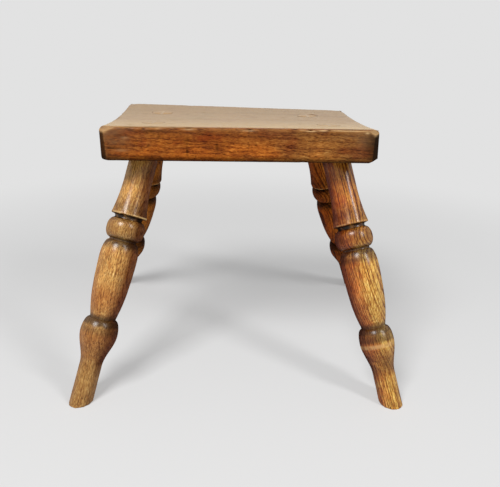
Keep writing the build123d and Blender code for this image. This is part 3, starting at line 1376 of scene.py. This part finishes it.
        def bare(places: np.ndarray) -> np.ndarray:
            """The barest knock at each place, and the faces of the broken corners above."""
            barest = np.max([knock.bare * knock.weigh(places) for knock in knocks], axis=0)
            return np.maximum(barest, 0.45 * self.near_broken_corners(places))

        def knocked(places: np.ndarray) -> np.ndarray:
            """All the knocks together, as a share of the deepest that they could be."""
            return sum(knock.depth * knock.weigh(places) for knock in knocks) / deepest

        board.mark("grime", grime)
        board.mark("bare", bare)
        board.mark("worn", self.worn)
        board.press(deepest, knocked)

    def list_knocks(self) -> list[Knock]:
        """The dents and splits: those on the front, placed one by one, and small ones all round.

        Returns:
            The knocks.
        """
        dice = random.Random(self.seed)
        knocks = [knock.on(self) for knock in self.front_knocks]
        knocks += [self.knock_edge(dice) for _ in range(self.knocks_on_edges)]
        knocks += [self.knock_top(dice) for _ in range(self.knocks_on_top)]
        return knocks

    def knock_edge(self, dice: random.Random) -> Knock:
        """A small knock on an arris: mostly on the long ones, and mostly above.

        Args:
            dice: what its place, size and darkness come from.

        Returns:
            The knock.
        """
        x = dice.uniform(-0.5, 0.5) * self.width
        y = dice.choice((-0.5, 0.5)) * self.depth
        at_an_end = dice.random() < 0.35
        if at_an_end:
            x = math.copysign(self.width / 2, x)
            y = dice.uniform(-0.5, 0.5) * self.depth
        above = dice.random() < 0.7
        z = self.top_height(x, y) if above else self.underside
        reach = Vector((dice.uniform(1.5, 5), dice.uniform(1.5, 3.5), dice.uniform(1, 2))) * MM
        return Knock(Vector((x, y, z)), reach, dice.uniform(0.3, 0.9) * MM, dice.uniform(0, 0.5))

    def knock_top(self, dice: random.Random) -> Knock:
        """A shallow dent in the top.

        Args:
            dice: what its place, size and darkness come from.

        Returns:
            The knock.
        """
        x = dice.uniform(-0.45, 0.45) * self.width
        y = dice.uniform(-0.42, 0.42) * self.depth
        reach = Vector((dice.uniform(2, 7), dice.uniform(3.5, 6), 6)) * MM
        middle = Vector((x, y, self.top_height(x, y)))
        return Knock(middle, reach, dice.uniform(0.1, 0.35) * MM, dice.uniform(0, 0.25))

    def hollowing(self, places: np.ndarray) -> np.ndarray:
        """How hollow the board is: most midway from front to back, and less down to nothing at the underside.

        Args:
            places: the places, one row each.

        Returns:
            The share of the hollow of the left end.
        """
        level = np.clip((places[:, 2] - self.underside) / self.thickness, 0, 1)
        rightwards = np.clip(places[:, 0] / self.width + 0.5, 0, 1)
        share = 1 - rightwards * (1 - self.right_hollow / self.left_hollow)
        return share * (1 - (2 * places[:, 1] / self.depth) ** 2) * level

    def worn(self, places: np.ndarray) -> np.ndarray:
        """How rubbed the board is: at its top arrises, its broken corners above and its left upright corner.

        Args:
            places: the places, one row each.

        Returns:
            The wear, from 0 to 1.
        """
        from_front = places[:, 1] + self.depth / 2
        upright = bell(np.hypot(self.left_upright.away(self, places), from_front), 1.1 * MM)
        below = bell(np.hypot(places[:, 2] - self.underside - MM, from_front), 2.2 * MM)
        shares = (
            bell(self.from_arris(places), 3 * MM),
            self.near_broken_corners(places),
            0.6 * upright * (places[:, 0] < 0),
            0.7 * below * (places[:, 0] < -140 * MM),
        )
        return np.max(shares, axis=0)

    def near_broken_corners(self, places: np.ndarray) -> np.ndarray:
        """The faces of the broken corners above, and what is close to their planes."""
        return np.max([bell(cut.away(self, places), 1.2 * MM) for cut in self.broken_above], axis=0)

    def near_back_corners(self, places: np.ndarray) -> np.ndarray:
        """The top of the two back corners, which is worn down and round.

        Args:
            places: the places, one row each.

        Returns:
            How near each is, from 0 to 1.
        """
        upper = np.clip((places[:, 2] - self.centre.z) / (self.thickness / 2), 0, 1)
        far = np.abs(self.depth / 2 - places[:, 1])
        left = np.abs(places[:, 0] + self.width / 2 + self.left_skew)
        right = np.abs(places[:, 0] - self.width / 2 + self.right_skew)
        return bell(np.hypot(far, np.minimum(left, right)), 11 * MM) * upper

    def from_sides(self, places: np.ndarray) -> tuple[np.ndarray, np.ndarray]:
        """How far each place is from the upright faces and from the top of the squared board.

        Args:
            places: the places, one row each.

        Returns:
            Two rows, from the nearest end and from the nearest long side, and a row for the top.
        """
        x, y, z = places.T
        backwards = y / self.depth + 0.5
        left = self.width / 2 + self.left_skew * backwards + x
        right = self.width / 2 - self.right_skew * backwards - x
        sides = np.abs(np.stack([np.minimum(left, right), self.depth / 2 - np.abs(y)]))
        return sides, np.abs(self.top_height(x, y) - z)

    def from_arris(self, places: np.ndarray) -> np.ndarray:
        """How far each place is from the nearest top arris of the squared board."""
        sides, above = self.from_sides(places)
        return np.hypot(above, sides.min(axis=0))

    def from_edge(self, places: np.ndarray) -> np.ndarray:
        """How far each place is from the nearest edge of the squared board: above, below or upright.

        Args:
            places: the places, one row each.

        Returns:
            The distances.
        """
        sides, above = self.from_sides(places)
        level = np.minimum(above, np.abs(places[:, 2] - self.underside))
        three = np.sort(np.vstack([sides, level]), axis=0)
        return np.hypot(three[0], three[1])

    def bore(self, board: Bench, legs: list[LegPlace]) -> None:
        """Bores the board for the tenons.

        Args:
            board: the board.
            legs: the legs.
        """
        length = 4 * self.thickness
        for leg in legs:
            Bench.clear()
            bpy.ops.mesh.primitive_cylinder_add(
                vertices=self.bore_facets,
                radius=self.bore_radius,
                depth=length,
            )
            auger = Bench.active("auger")
            auger.settle(leg.socket_place())
            board.cut_out(auger)


# ----------------------------------------------------------------- legs ----


@dataclass(frozen=True)
class LegPlace:
    """Where one leg stands: its socket in the underside of the seat, its foot and its small differences."""

    name: str
    socket: Vector
    foot: Vector
    plain: float  # from the underside of the seat to the shoulder
    turned: float  # how far the blank was turned about its own axis when it was driven home, in degrees
    bulb: float  # how much slimmer the bulb is than the pattern

    @property
    def up(self) -> Vector:
        """The direction of the leg, from the foot to the seat."""
        return (self.socket - self.foot).normalized()

    def place(self, at: Vector, turn: float = 0.0) -> Matrix:
        """The place of a point of the leg, its Z up the leg and its X across the wedge.

        Args:
            at: the point.
            turn: how far the place is turned about the leg's own axis.

        Returns:
            The place.
        """
        up = self.up
        across = BACKWARDS.cross(up).normalized()
        axes = Matrix((across, up.cross(across), up)).transposed()
        return Matrix.Translation(at) @ axes.to_4x4() @ Matrix.Rotation(turn, 4, "Z")

    def socket_place(self) -> Matrix:
        """The place of the socket."""
        return self.place(self.socket)

    def shoulder_place(self, turn: float = 0.0) -> Matrix:
        """The place of the shoulder."""
        return self.place(self.socket - self.up * self.plain, turn)


@dataclass
class Outline:
    """The outline of a turning, drawn downwards: radii, and heights above the shoulder."""

    height: float
    points: list[tuple[float, float]]
    swell_steps: int = 14

    def stretch(self, length: float, radius: Callable[[float], float], steps: int) -> None:
        """Adds a stretch whose radius is a formula.

        Args:
            length: how long it is.
            radius: the radius by the share of the length, from 0 at its top to 1 at its foot.
            steps: how many points it has.
        """
        start = self.height
        for step in range(1, steps + 1):
            self.points.append((radius(step / steps), start - length * step / steps))
        self.height = start - length

    def plain(self, length: float, radius: float, steps: int = 1) -> None:
        """Adds a stretch of one radius."""
        self.stretch(length, lambda share: radius, steps)

    def swell(self, length: float, neck: float, widest: float) -> None:
        """Adds a quarter round, which leaves the neck square to the leg and ends along it.

        Args:
            length: how long it is.
            neck: the radius at its top.
            widest: the radius at its foot.
        """
        start = self.height
        for step in range(1, self.swell_steps + 1):
            share = 1 - math.cos(math.pi / 2 * step / self.swell_steps)
            radius = neck + (widest - neck) * math.sqrt(1 - (1 - share) ** 2)
            self.points.append((radius, start - length * share))
        self.height = start - length


@dataclass
class LegSet:
    """The four legs: one turned pattern, with a plain taper, a bead, a vase and a bulb."""

    seat: SeatBoard
    end_inset: tuple[float, float] = (47 * MM, 50.5 * MM)  # front pair, back pair
    edge_inset: float = 55 * MM
    pair_shift: tuple[float, float] = (1.5 * MM, -7 * MM)
    foot_run_out: float = 126.5 * MM
    foot_run: tuple[float, float] = (77.5 * MM, 106 * MM)
    plain: tuple[float, float, float, float] = (87.5 * MM, 95.5 * MM, 79.5 * MM, 84.5 * MM)
    turned: tuple[float, float, float, float] = (0, 140, 220, 75)
    bulb_slimmer: tuple[float, float, float, float] = (-0.4 * MM, 1.2 * MM, 0.4 * MM, 0.6 * MM)

    top_radius: float = 19 * MM
    shoulder_radius: float = 24 * MM
    groove_radius: float = 18.5 * MM
    bead_radius: float = 25.8 * MM
    upper_neck_radius: float = 18.2 * MM
    vase_radius: float = 25.4 * MM
    waist_radius: float = 23.2 * MM
    lower_neck_radius: float = 17.2 * MM
    bulb_radius: float = 24.5 * MM
    ankle_radius: float = 14.8 * MM
    foot_radius: float = 15.4 * MM

    flare: float = 50 * MM
    shoulder: float = 2 * MM
    shoulder_lip: float = 0.15 * MM  # how far the arris of the shoulder stands proud
    shoulder_round: float = 0.7 * MM  # how much its lower edge is rounded
    undercut: float = 1.5 * MM
    groove: float = 3 * MM
    groove_hollow: float = 0.2 * MM
    bead: float = 28.5 * MM
    neck: float = 2 * MM
    vase_swell: float = 24 * MM
    vase_waist: float = 46 * MM
    vase_taper: float = 34 * MM
    bulb_swell: float = 20 * MM
    bulb_taper: float = 42 * MM

    blank_above: float = 160 * MM
    blank_below: float = 340 * MM
    facets: int = 112
    unevenness: float = 0.5 * MM
    nick_depth: float = 0.45 * MM
    tenon_radius: float = 15 * MM
    tenon_arris: float = 0.4 * MM
    kerf_top: float = 4.1 * MM
    kerf_tip: float = 1.1 * MM
    kerf_depth: float = 30 * MM
    kerf_run_on: float = 1.5 * MM
    foot_arris: float = 1.5 * MM

    def places(self) -> list[LegPlace]:
        """Where the four legs stand.

        Returns:
            The front pair and the back pair, each from the left.
        """
        places = []
        names = ("front_left", "front_right", "back_left", "back_right")
        from_line = self.seat.depth / 2 - self.edge_inset
        for number, name in enumerate(names):
            pair = number // 2
            side = 1 if number % 2 else -1
            end = 1 if pair else -1
            from_middle = self.seat.width / 2 - self.end_inset[pair]
            socket_x = side * from_middle + self.pair_shift[pair]
            socket = Vector((socket_x, end * from_line, self.seat.underside))
            foot_x = side * (from_middle + self.foot_run[pair])
            foot = Vector((foot_x, end * (from_line + self.foot_run_out), 0))
            slimmer = self.bulb_slimmer[number]
            places.append(LegPlace(name, socket, foot, self.plain[number], self.turned[number], slimmer))
        return places

    def outline(self) -> list[tuple[float, float]]:
        """The outline of the blank from its top to its foot.

        Returns:
            Its points, as radii and heights above the shoulder.
        """
        line = Outline(self.blank_above, [(0.0, self.blank_above), (self.top_radius, self.blank_above)])
        line.plain(self.blank_above - self.flare, self.top_radius, 28)
        flare_out = self.shoulder_radius - self.top_radius
        line.stretch(self.flare, lambda share: self.top_radius + flare_out * share**2, 24)
        under_shoulder = self.shoulder_radius - self.shoulder_round
        line.plain(self.shoulder * 0.35, self.shoulder_radius + self.shoulder_lip)
        line.plain(self.shoulder * 0.40, self.shoulder_radius)
        line.plain(self.shoulder * 0.25, under_shoulder)
        undercut_in = under_shoulder - self.groove_radius
        line.stretch(self.undercut, lambda share: self.groove_radius + undercut_in * (1 - share) ** 1.3, 4)
        hollow = self.groove_hollow
        line.stretch(self.groove, lambda share: self.groove_radius - hollow * math.sin(math.pi * share), 3)
        line.stretch(self.bead, self.bead_at, 26)
        line.plain(self.neck, self.upper_neck_radius, 2)
        line.swell(self.vase_swell, self.upper_neck_radius, self.vase_radius)
        waist_in = self.waist_radius - self.vase_radius
        line.stretch(self.vase_waist, lambda share: self.vase_radius + waist_in * share**1.8, 20)
        line.stretch(self.vase_taper, self.taper_at, 18)
        line.plain(self.neck, self.lower_neck_radius, 2)
        line.swell(self.bulb_swell, self.lower_neck_radius, self.bulb_radius)
        line.stretch(self.bulb_taper, self.bulb_at, 22)
        foot_out = self.foot_radius - self.ankle_radius
        rest = line.height + self.blank_below
        line.stretch(rest, lambda share: self.ankle_radius + foot_out * share, 40)
        return [*line.points, (0.0, -self.blank_below)]

    def bead_at(self, share: float) -> float:
        """The radius of the bead, a flattened half round, by the share of its length."""
        swell = self.bead_radius - self.upper_neck_radius
        return self.upper_neck_radius + swell * max(0.0, 1 - abs(2 * share - 1) ** 2.3) ** 0.62

    def taper_at(self, share: float) -> float:
        """The radius of the foot of the vase, drawn in to the lower neck ever faster.

        Args:
            share: the share of its length.

        Returns:
            The radius, which goes on from the waist at the waist's own slope.
        """
        drop = self.waist_radius - self.lower_neck_radius
        entry = 1.8 * (self.vase_radius - self.waist_radius) / self.vase_waist * self.vase_taper
        return self.waist_radius - entry * share - (drop - entry) * share**1.7

    def bulb_at(self, share: float) -> float:
        """The radius below the bulb, eased at both ends, by the share of its length."""
        return self.bulb_radius + (self.ankle_radius - self.bulb_radius) * share * share * (3 - 2 * share)

    def turn_blank(self) -> Bench:
        """Turns the blank about the Z axis, its shoulder at the origin.

        Returns:
            The blank.
        """
        Bench.clear()
        points = self.outline()
        radius, height = points[0]
        bpy.ops.mesh.primitive_plane_add(size=MM, location=(radius, 0, height))
        blank = Bench.active("blank")
        blank.settle()
        with blank.opened():
            bpy.ops.mesh.select_all(action="SELECT")
            bpy.ops.mesh.merge(type="CENTER")
            for next_radius, next_height in points[1:]:
                move = (next_radius - radius, 0, next_height - height)
                bpy.ops.mesh.extrude_region_move(TRANSFORM_OT_translate={"value": move})
                radius, height = next_radius, next_height
            bpy.ops.mesh.select_all(action="SELECT")
            bpy.ops.mesh.spin(steps=self.facets, angle=FULL_TURN, center=(0, 0, 0), axis=(0, 0, 1))
            bpy.ops.mesh.select_all(action="SELECT")
            bpy.ops.mesh.remove_doubles(threshold=TOUCH)
            bpy.ops.mesh.normals_make_consistent(inside=False)
        blank.press(self.unevenness, everywhere, mottle=28 * MM)
        return blank

    def build(self) -> list[tuple[LegPlace, Bench]]:
        """Makes the four legs from one blank.

        Returns:
            Each leg with its place.
        """
        blank = self.turn_blank()
        legs = []
        for place in self.places():
            leg = blank.copy(f"leg.{place.name}")
            self.slim_bulb(leg, place)
            leg.settle(place.shoulder_place(math.radians(place.turned)))
            self.nick(leg, place)
            self.saw_ends(leg, place)
            self.cut_tenon(leg, place)
            self.soften_ends(leg, place)
            self.split_tenon(leg, place)
            leg.smooth(32)
            legs.append((place, leg))
        bpy.data.objects.remove(blank.piece)
        return legs

    def slim_bulb(self, leg: Bench, place: LegPlace) -> None:
        """Takes a little off the bulb of a leg that was turned slimmer, or leaves a little more on."""
        middle = self.bulb_height()
        leg.press(place.bulb, lambda places: bell(places[:, 2] - middle, 22 * MM))

    def bulb_height(self) -> float:
        """The height of the widest part of the bulb above the shoulder, so a number below 0."""
        bead_and_above = (self.shoulder, self.undercut, self.groove, self.bead)
        vase = (self.neck, self.vase_swell, self.vase_waist)
        return -sum(bead_and_above + vase) - self.vase_taper - self.neck - self.bulb_swell

    def nick(self, leg: Bench, place: LegPlace) -> None:
        """Nicks the arris of the shoulder, and dents the swellings.

        Args:
            leg: the leg, at its place.
            place: that place.
        """
        dice = random.Random(place.name)
        to_leg = place.shoulder_place().inverted()
        nicks = []
        for height, radius, count in (
            (-1.2 * MM, self.shoulder_radius, 9),
            (-22 * MM, self.bead_radius, 4),
            (-75 * MM, self.vase_radius, 4),
            (self.bulb_height(), self.bulb_radius, 3),
        ):
            for _ in range(count):
                angle = dice.uniform(0, FULL_TURN)
                stray = dice.uniform(-1, 1) * MM
                middle = Vector((radius * math.cos(angle), radius * math.sin(angle), height + stray))
                nicks.append((middle, dice.uniform(1.5, 4) * MM))

        def nicked(places: np.ndarray) -> np.ndarray:
            """The nearest nick at each place."""
            local = places @ np.array(to_leg.to_3x3()).T + np.array(to_leg.to_translation())
            away = [(np.linalg.norm(local - np.array(middle), axis=1), reach) for middle, reach in nicks]
            return np.max([bell(distance, reach) for distance, reach in away], axis=0)

        leg.press(self.nick_depth, nicked)

    def saw_ends(self, leg: Bench, place: LegPlace) -> None:
        """Saws the foot level with the floor, and the taper level with the underside of the seat.

        Args:
            leg: the leg, at its place.
            place: that place.
        """
        with leg.opened():
            leg.saw(ORIGIN, UPWARDS, Keep.FRONT)
            leg.saw(place.socket, UPWARDS, Keep.BEHIND)

    def cut_tenon(self, leg: Bench, place: LegPlace) -> None:
        """Draws the tenon out of the sawn top, and saws it off along the top of the seat.

        Args:
            leg: the leg, at its place.
            place: that place.
        """
        crown = self.crown(place)
        share = self.tenon_radius / (self.top_radius - self.unevenness / 2)
        with leg.opened(Kind.FACE):
            leg.pick_faces(lambda middle, normal: middle.z > place.socket.z - TOUCH and normal.z > LEVEL)
            bpy.ops.mesh.extrude_region_move(TRANSFORM_OT_translate={"value": (0, 0, 0)})
            bpy.ops.transform.resize(value=(share, share, 1), center_override=place.socket)
            length = 2 * self.seat.thickness
            bpy.ops.mesh.extrude_region_move(TRANSFORM_OT_translate={"value": place.up * length})
            leg.saw(crown, self.seat.top_normal(crown.x, crown.y), Keep.BEHIND)

    def soften_ends(self, leg: Bench, place: LegPlace) -> None:
        """Rounds the arris of the foot, which stays level, and that of the tenon.

        Args:
            leg: the leg, with its tenon.
            place: its place.
        """
        crown = self.crown(place)
        normal = self.seat.top_normal(crown.x, crown.y)

        def at_crown(one: Vector, two: Vector) -> bool:
            """Whether an edge lies in the sawn end of the tenon."""
            off = abs((one - crown).dot(normal)) + abs((two - crown).dot(normal))
            return min(one.z, two.z) > self.seat.centre.z and off < TOUCH

        with leg.opened(Kind.EDGE):
            leg.pick_edges(lambda one, two: max(one.z, two.z) < TOUCH)
            bpy.ops.mesh.bevel(offset=self.foot_arris, segments=3, clamp_overlap=False)
            leg.pick_edges(lambda one, two: min(one.z, two.z) < 0)
            bpy.ops.transform.resize(value=(1, 1, 0), center_override=ORIGIN)
            leg.pick_edges(at_crown)
            bpy.ops.mesh.bevel(offset=self.tenon_arris, segments=2, clamp_overlap=False)

    def crown(self, place: LegPlace) -> Vector:
        """Where the axis of a leg comes out of the top of the seat.

        Args:
            place: the place of the leg.

        Returns:
            The point, found by going from the height of the top there to the axis and back.
        """
        point = place.socket + place.up * (self.seat.thickness / place.up.z)
        for _ in range(4):
            height = self.seat.top_height(point.x, point.y)
            point = place.socket + place.up * ((height - place.socket.z) / place.up.z)
        return point

    def crown_height(self, place: LegPlace) -> float:
        """How far along the leg the top of a flat seat would be above its underside."""
        return self.seat.thickness / place.up.z

    def split_tenon(self, leg: Bench, place: LegPlace) -> None:
        """Saws the kerf for the wedge, which widens upwards, across the tenon.

        Args:
            leg: the leg, with its tenon.
            place: its place.
        """
        crown = self.crown_height(place)
        tip = crown - self.kerf_depth
        top = crown + self.kerf_depth
        middle = (top + tip) / 2
        spread = (self.kerf_top - self.kerf_tip) / self.kerf_depth
        widen = (self.kerf_tip + spread * (top - tip)) / self.kerf_tip
        size = (self.kerf_tip, 4 * self.tenon_radius, top - tip)
        Bench.clear()
        bpy.ops.mesh.primitive_cube_add(size=1, location=(0, 0, middle), scale=size)
        saw = Bench.active("saw")
        saw.settle()
        with saw.opened():
            saw.pick_vertices(lambda spot: spot.z > middle)
            bpy.ops.transform.resize(value=(widen, 1, 1), center_override=(0, 0, top))
        with saw.opened(Kind.FACE):
            saw.pick_faces(lambda spot, normal: normal.z < -LEVEL)
            bpy.ops.mesh.extrude_region_move(TRANSFORM_OT_translate={"value": (0, 0, -self.kerf_run_on)})
        saw.settle(place.socket_place())
        leg.cut_out(saw)


# --------------------------------------------------------------- studio ----


@dataclass(frozen=True)
class Lamp:
    """A soft lamp that faces the stool."""

    name: str
    place: tuple[float, float, float]
    size: tuple[float, float]  # its width and its height
    watts: float


@dataclass
class Studio:
    """A plain pale floor, soft light and the camera."""

    camera_place: Vector = field(default_factory=lambda: Vector((-0.25, -802.7, 444.0)) * MM)
    yaw: float = 1.308  # to the right, in degrees
    pitch: float = 19.814  # downwards
    roll: float = -1.103
    focal_pixels: float = 538.14
    sensor_width: float = 36.0
    pale: float = 0.76  # how bright the surround is where it is seen
    around: float = 0.25  # how brightly it lights the stool
    floor_radius: float = 8.0
    floor_grey: Colour = (0.70, 0.70, 0.70)
    floor_fade: tuple[float, float] = (0.45, 1.3)  # from where to where the floor fades into the surround
    aim_height: float = 0.2  # the height that the lamps face
    lamps: tuple[Lamp, ...] = (
        Lamp("softbox.left", (-1.0, -1.6, 2.6), (1.1, 1.1), 74),
        Lamp("softbox.right", (1.6, -1.2, 1.8), (0.4, 1.2), 26),
    )

    def build(self) -> None:
        """Sets up the floor, the world, the lamps and the camera."""
        self.lay_floor()
        self.light_world()
        for lamp in self.lamps:
            self.hang(lamp)
        self.set_camera()

    def lay_floor(self) -> None:
        """A wide round floor that fades into the backdrop far from the stool."""
        Bench.clear()
        bpy.ops.mesh.primitive_circle_add(vertices=96, radius=self.floor_radius, fill_type="NGON")
        floor = Bench.active("floor")
        material = bpy.data.materials.new("floor")
        tree = Tree(material)
        place = tree.node("TexCoord", {}, {}, "Object")
        away = tree.node("VectorMath", {"operation": "LENGTH"}, {0: place}, "Value")
        near = tree.node("BsdfDiffuse", {}, {"Color": (*self.floor_grey, 1)})
        far = tree.node("Emission", {}, {"Color": (1, 1, 1, 1), "Strength": self.pale})
        share = 0.4 + tree.between(away, *self.floor_fade) * 0.6
        tree.end(tree.node("MixShader", {}, {0: share, 1: near, 2: far}))
        floor.piece.data.materials.append(material)

    def light_world(self) -> None:
        """An even pale surround, brighter where it is seen or mirrored than where it lights."""
        world = bpy.data.worlds.new("surround")
        bpy.context.scene.world = world
        tree = Tree(world)
        rays = ("Is Camera Ray", "Is Glossy Ray", "Is Transmission Ray")
        shown = tree.most(*(tree.node("LightPath", {}, {}, ray) for ray in rays))
        strength = self.around + shown * (self.pale - self.around)
        tree.end(tree.node("Background", {}, {"Color": (1, 1, 1, 1), "Strength": strength}), "World")

    def hang(self, lamp: Lamp) -> None:
        """Hangs a lamp.

        Args:
            lamp: the lamp.
        """
        light = bpy.data.lights.new(lamp.name, "AREA")
        light.shape = "RECTANGLE"
        light.size, light.size_y = lamp.size
        light.energy = lamp.watts
        holder = bpy.data.objects.new(lamp.name, light)
        bpy.context.scene.collection.objects.link(holder)
        holder.location = lamp.place
        aim = UPWARDS * self.aim_height - Vector(lamp.place)
        holder.rotation_euler = aim.to_track_quat("-Z", "Y").to_euler()

    def set_camera(self) -> None:
        """Sets the camera in front of the stool, looking down on it."""
        yaw, pitch, roll = (math.radians(angle) for angle in (self.yaw, self.pitch, self.roll))
        forward = Vector((math.sin(yaw) * math.cos(pitch), math.cos(yaw) * math.cos(pitch), -math.sin(pitch)))
        level = Vector((math.cos(yaw), -math.sin(yaw), 0))
        down = forward.cross(level)
        right = level * math.cos(roll) + down * math.sin(roll)
        down = down * math.cos(roll) - level * math.sin(roll)
        camera = bpy.data.cameras.new("camera")
        camera.sensor_fit = "HORIZONTAL"
        camera.sensor_width = self.sensor_width
        camera.lens = self.focal_pixels * self.sensor_width / IMAGE_WIDTH
        holder = bpy.data.objects.new("camera", camera)
        bpy.context.scene.collection.objects.link(holder)
        axes = Matrix((right, -down, -forward)).transposed()
        holder.matrix_world = Matrix.Translation(self.camera_place) @ axes.to_4x4()
        bpy.context.scene.camera = holder


# ----------------------------------------------------------------- main ----

SEAT_FIGURE = Figure(
    pith=(0.075, 0.03),
    lean=(0.02, 0.01),
    ring=2.6 * MM,
    ring_strength=0.20,
    early=0.30,
    wander=2.2 * MM,
    wander_size=Vector((6, 8, 22)) * MM,
    fleck=Vector((1.2, 1.2, 6)) * MM,
    fleck_strength=1.15,
    cloud=Vector((6, 6, 12)) * MM,
    cloud_strength=0.5,
    streak=Vector((1.6, 1.6, 40)) * MM,
    streak_strength=0.3,
    pore=Vector((0.8, 0.8, 4.5)) * MM,
)
FINE_FIGURE = Figure(
    pith=(-0.10, 0.05),
    lean=(0.02, 0.05),
    ring=1.7 * MM,
    ring_strength=0.15,
    early=0.25,
    wander=0.5 * MM,
    wander_size=Vector((9, 9, 40)) * MM,
    fleck=Vector((1.1, 1.1, 6)) * MM,
    fleck_strength=1.0,
    cloud=Vector((10, 10, 22)) * MM,
    cloud_strength=0.45,
    streak=Vector((1.7, 1.7, 60)) * MM,
    streak_strength=0.5,
    pore=Vector((0.7, 0.7, 4.5)) * MM,
)
BOLD_FIGURE = replace(
    FINE_FIGURE,
    pith=(-0.055, 0.02),
    lean=(-0.04, 0.03),
    ring=3.1 * MM,
    ring_strength=0.32,
    wander=0.6 * MM,
    wander_size=Vector((10, 10, 50)) * MM,
    fleck=Vector((1.0, 1.0, 8)) * MM,
    fleck_strength=0.95,
    streak_strength=0.6,
)
# Darker bands along a leg: dirt in the grooves and necks, painted shade over the bead under the shoulder, and
# painted shadow under the seat from 83 mm up.
LEG_DIRT_AND_SHADE = (
    Band(-8.5, -1.6, 1.2, 0.98),
    Band(-13, -7, 4, 0.62),
    Band(-46, -31, 5, 0.80),
    Band(-153, -138, 4, 0.78),
    Band(-163, -152, 6, 0.42),
    Band(-400, -180, 14, 0.18),
    Band(83, 200, 6, 0.5),
    Band(1, 12, 8, 0.42),
    Band(-36, -6, 3, 0.3),
    Band(-205, -160, 10, 0.2),
)
SHOULDER_WEAR = Band(-1.6, 0.5, 0.5, 0.9)
VASE_RUBBED = Band(-100, -46, 14, 0.75)
BACK_WOOD = TurnedWood(
    FINE_FIGURE,
    BACK_STAIN_AND_SHADE,
    wax=0.0,
    gloss=1.12,
    dirt_and_shade=LEG_DIRT_AND_SHADE,
    wear=(SHOULDER_WEAR,),
    rubbed=(VASE_RUBBED,),
    ruddy=200.0,
    ruddy_strength=0.6,
    painted_shade_strength=0.5,
)
FRONT_WOOD = replace(BACK_WOOD, wax=1.0, painted_shade_strength=0.9, joint=0.12)
LEG_WOODS = {
    "front_left": replace(
        FRONT_WOOD,
        stain=ASH_STAIN,
        dirt_and_shade=(*LEG_DIRT_AND_SHADE, Band(-205, -176, 8, 0.32)),
        rubbed=(VASE_RUBBED, Band(24, 90, 12, 0.8), Band(-31, -10, 5, 0.5)),
        warm=(Band(-132, -100, 14, 0.8), Band(-200, -160, 8, 0.75)),
        ruddy_strength=0.1,
        lit_side=237.0,
    ),
    "front_right": replace(
        FRONT_WOOD,
        figure=BOLD_FIGURE,
        stain=RED_STAIN,
        dirt_and_shade=(
            *LEG_DIRT_AND_SHADE,
            Band(-53, -34, 5, 0.6),
            Band(-162, -150, 3, 0.62),
            Band(-27, -6, 5, 0.45),
            Band(-206, -177, 12, 0.56),
            Band(0, 22, 8, 0.4),
            # painted shadow under the seat
            Band(90, 200, 5, 0.75),
        ),
        wear=(replace(SHOULDER_WEAR, amount=0.4), Band(-169.5, -164.5, 1.8, 0.6)),
        rubbed=(replace(VASE_RUBBED, amount=0.6), Band(-300, -208, 12, 0.95), Band(-171, -164, 3, 1.0)),
        warm=(Band(-34, 4, 8, 0.8), Band(2, 100, 8, 1.0), Band(-206, -175, 10, 0.9)),
        ruddy_strength=0.8,
        lit_side=282.0,
    ),
    "back_left": replace(BACK_WOOD, figure=replace(FINE_FIGURE, pith=(0.07, -0.06))),
    "back_right": replace(BACK_WOOD, figure=replace(BOLD_FIGURE, pith=(0.06, 0.03)), joint=0.5),
}
WEDGE_FIGURE = replace(FINE_FIGURE, pith=(0.02, 0.03), ring=1.5 * MM)


def make_seat(seat: SeatBoard, legs: LegSet) -> None:
    """Builds and dresses the seat, bored for the legs."""
    wood = BoardWood(SEAT_FIGURE, ELM_STAIN, wax=0.2, gloss=1.15, board=seat)
    seat.build(legs.places()).hand_over(wood.make("elm.seat"), Slot.SEAT, "seat_slab")


def make_legs(legs: LegSet) -> None:
    """Builds and dresses the four legs.

    Args:
        legs: the legs.
    """
    for place, leg in legs.build():
        crown = place.plain + legs.crown_height(place)
        wood = replace(LEG_WOODS[place.name], crown=crown, tenon_radius=legs.tenon_radius)
        finish = wood.make(f"ash.{place.name}", place.shoulder_place())
        leg.hand_over(finish, Slot.LEG, f"leg_{place.name}")


def dress_wedges(legs: LegSet) -> None:
    """Gives the wedges of the frame their finish, which is that of the tenon's crown all over.

    Args:
        legs: the legs that they are driven into.
    """
    for place in legs.places():
        wood = TurnedWood(WEDGE_FIGURE, OAK_STAIN, crown=0.0, tenon_radius=legs.tenon_radius)
        finish = wood.make(f"oak.{place.name}", place.socket_place())
        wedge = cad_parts[f"wedge_{place.name}"]
        for slot in wedge.material_slots:
            slot.material = finish
        log.info("wedge_%s: dressed", place.name)


def main() -> None:
    """Builds the stool around the frame, and the studio around the stool."""
    logging.basicConfig(level=logging.INFO, format="%(message)s")
    bpy.context.scene.view_settings.view_transform = "Standard"
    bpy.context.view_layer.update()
    seat = SeatBoard()
    legs = LegSet(seat)
    make_seat(seat, legs)
    make_legs(legs)
    dress_wedges(legs)
    Studio().build()


if __name__ == "__main__":
    main()
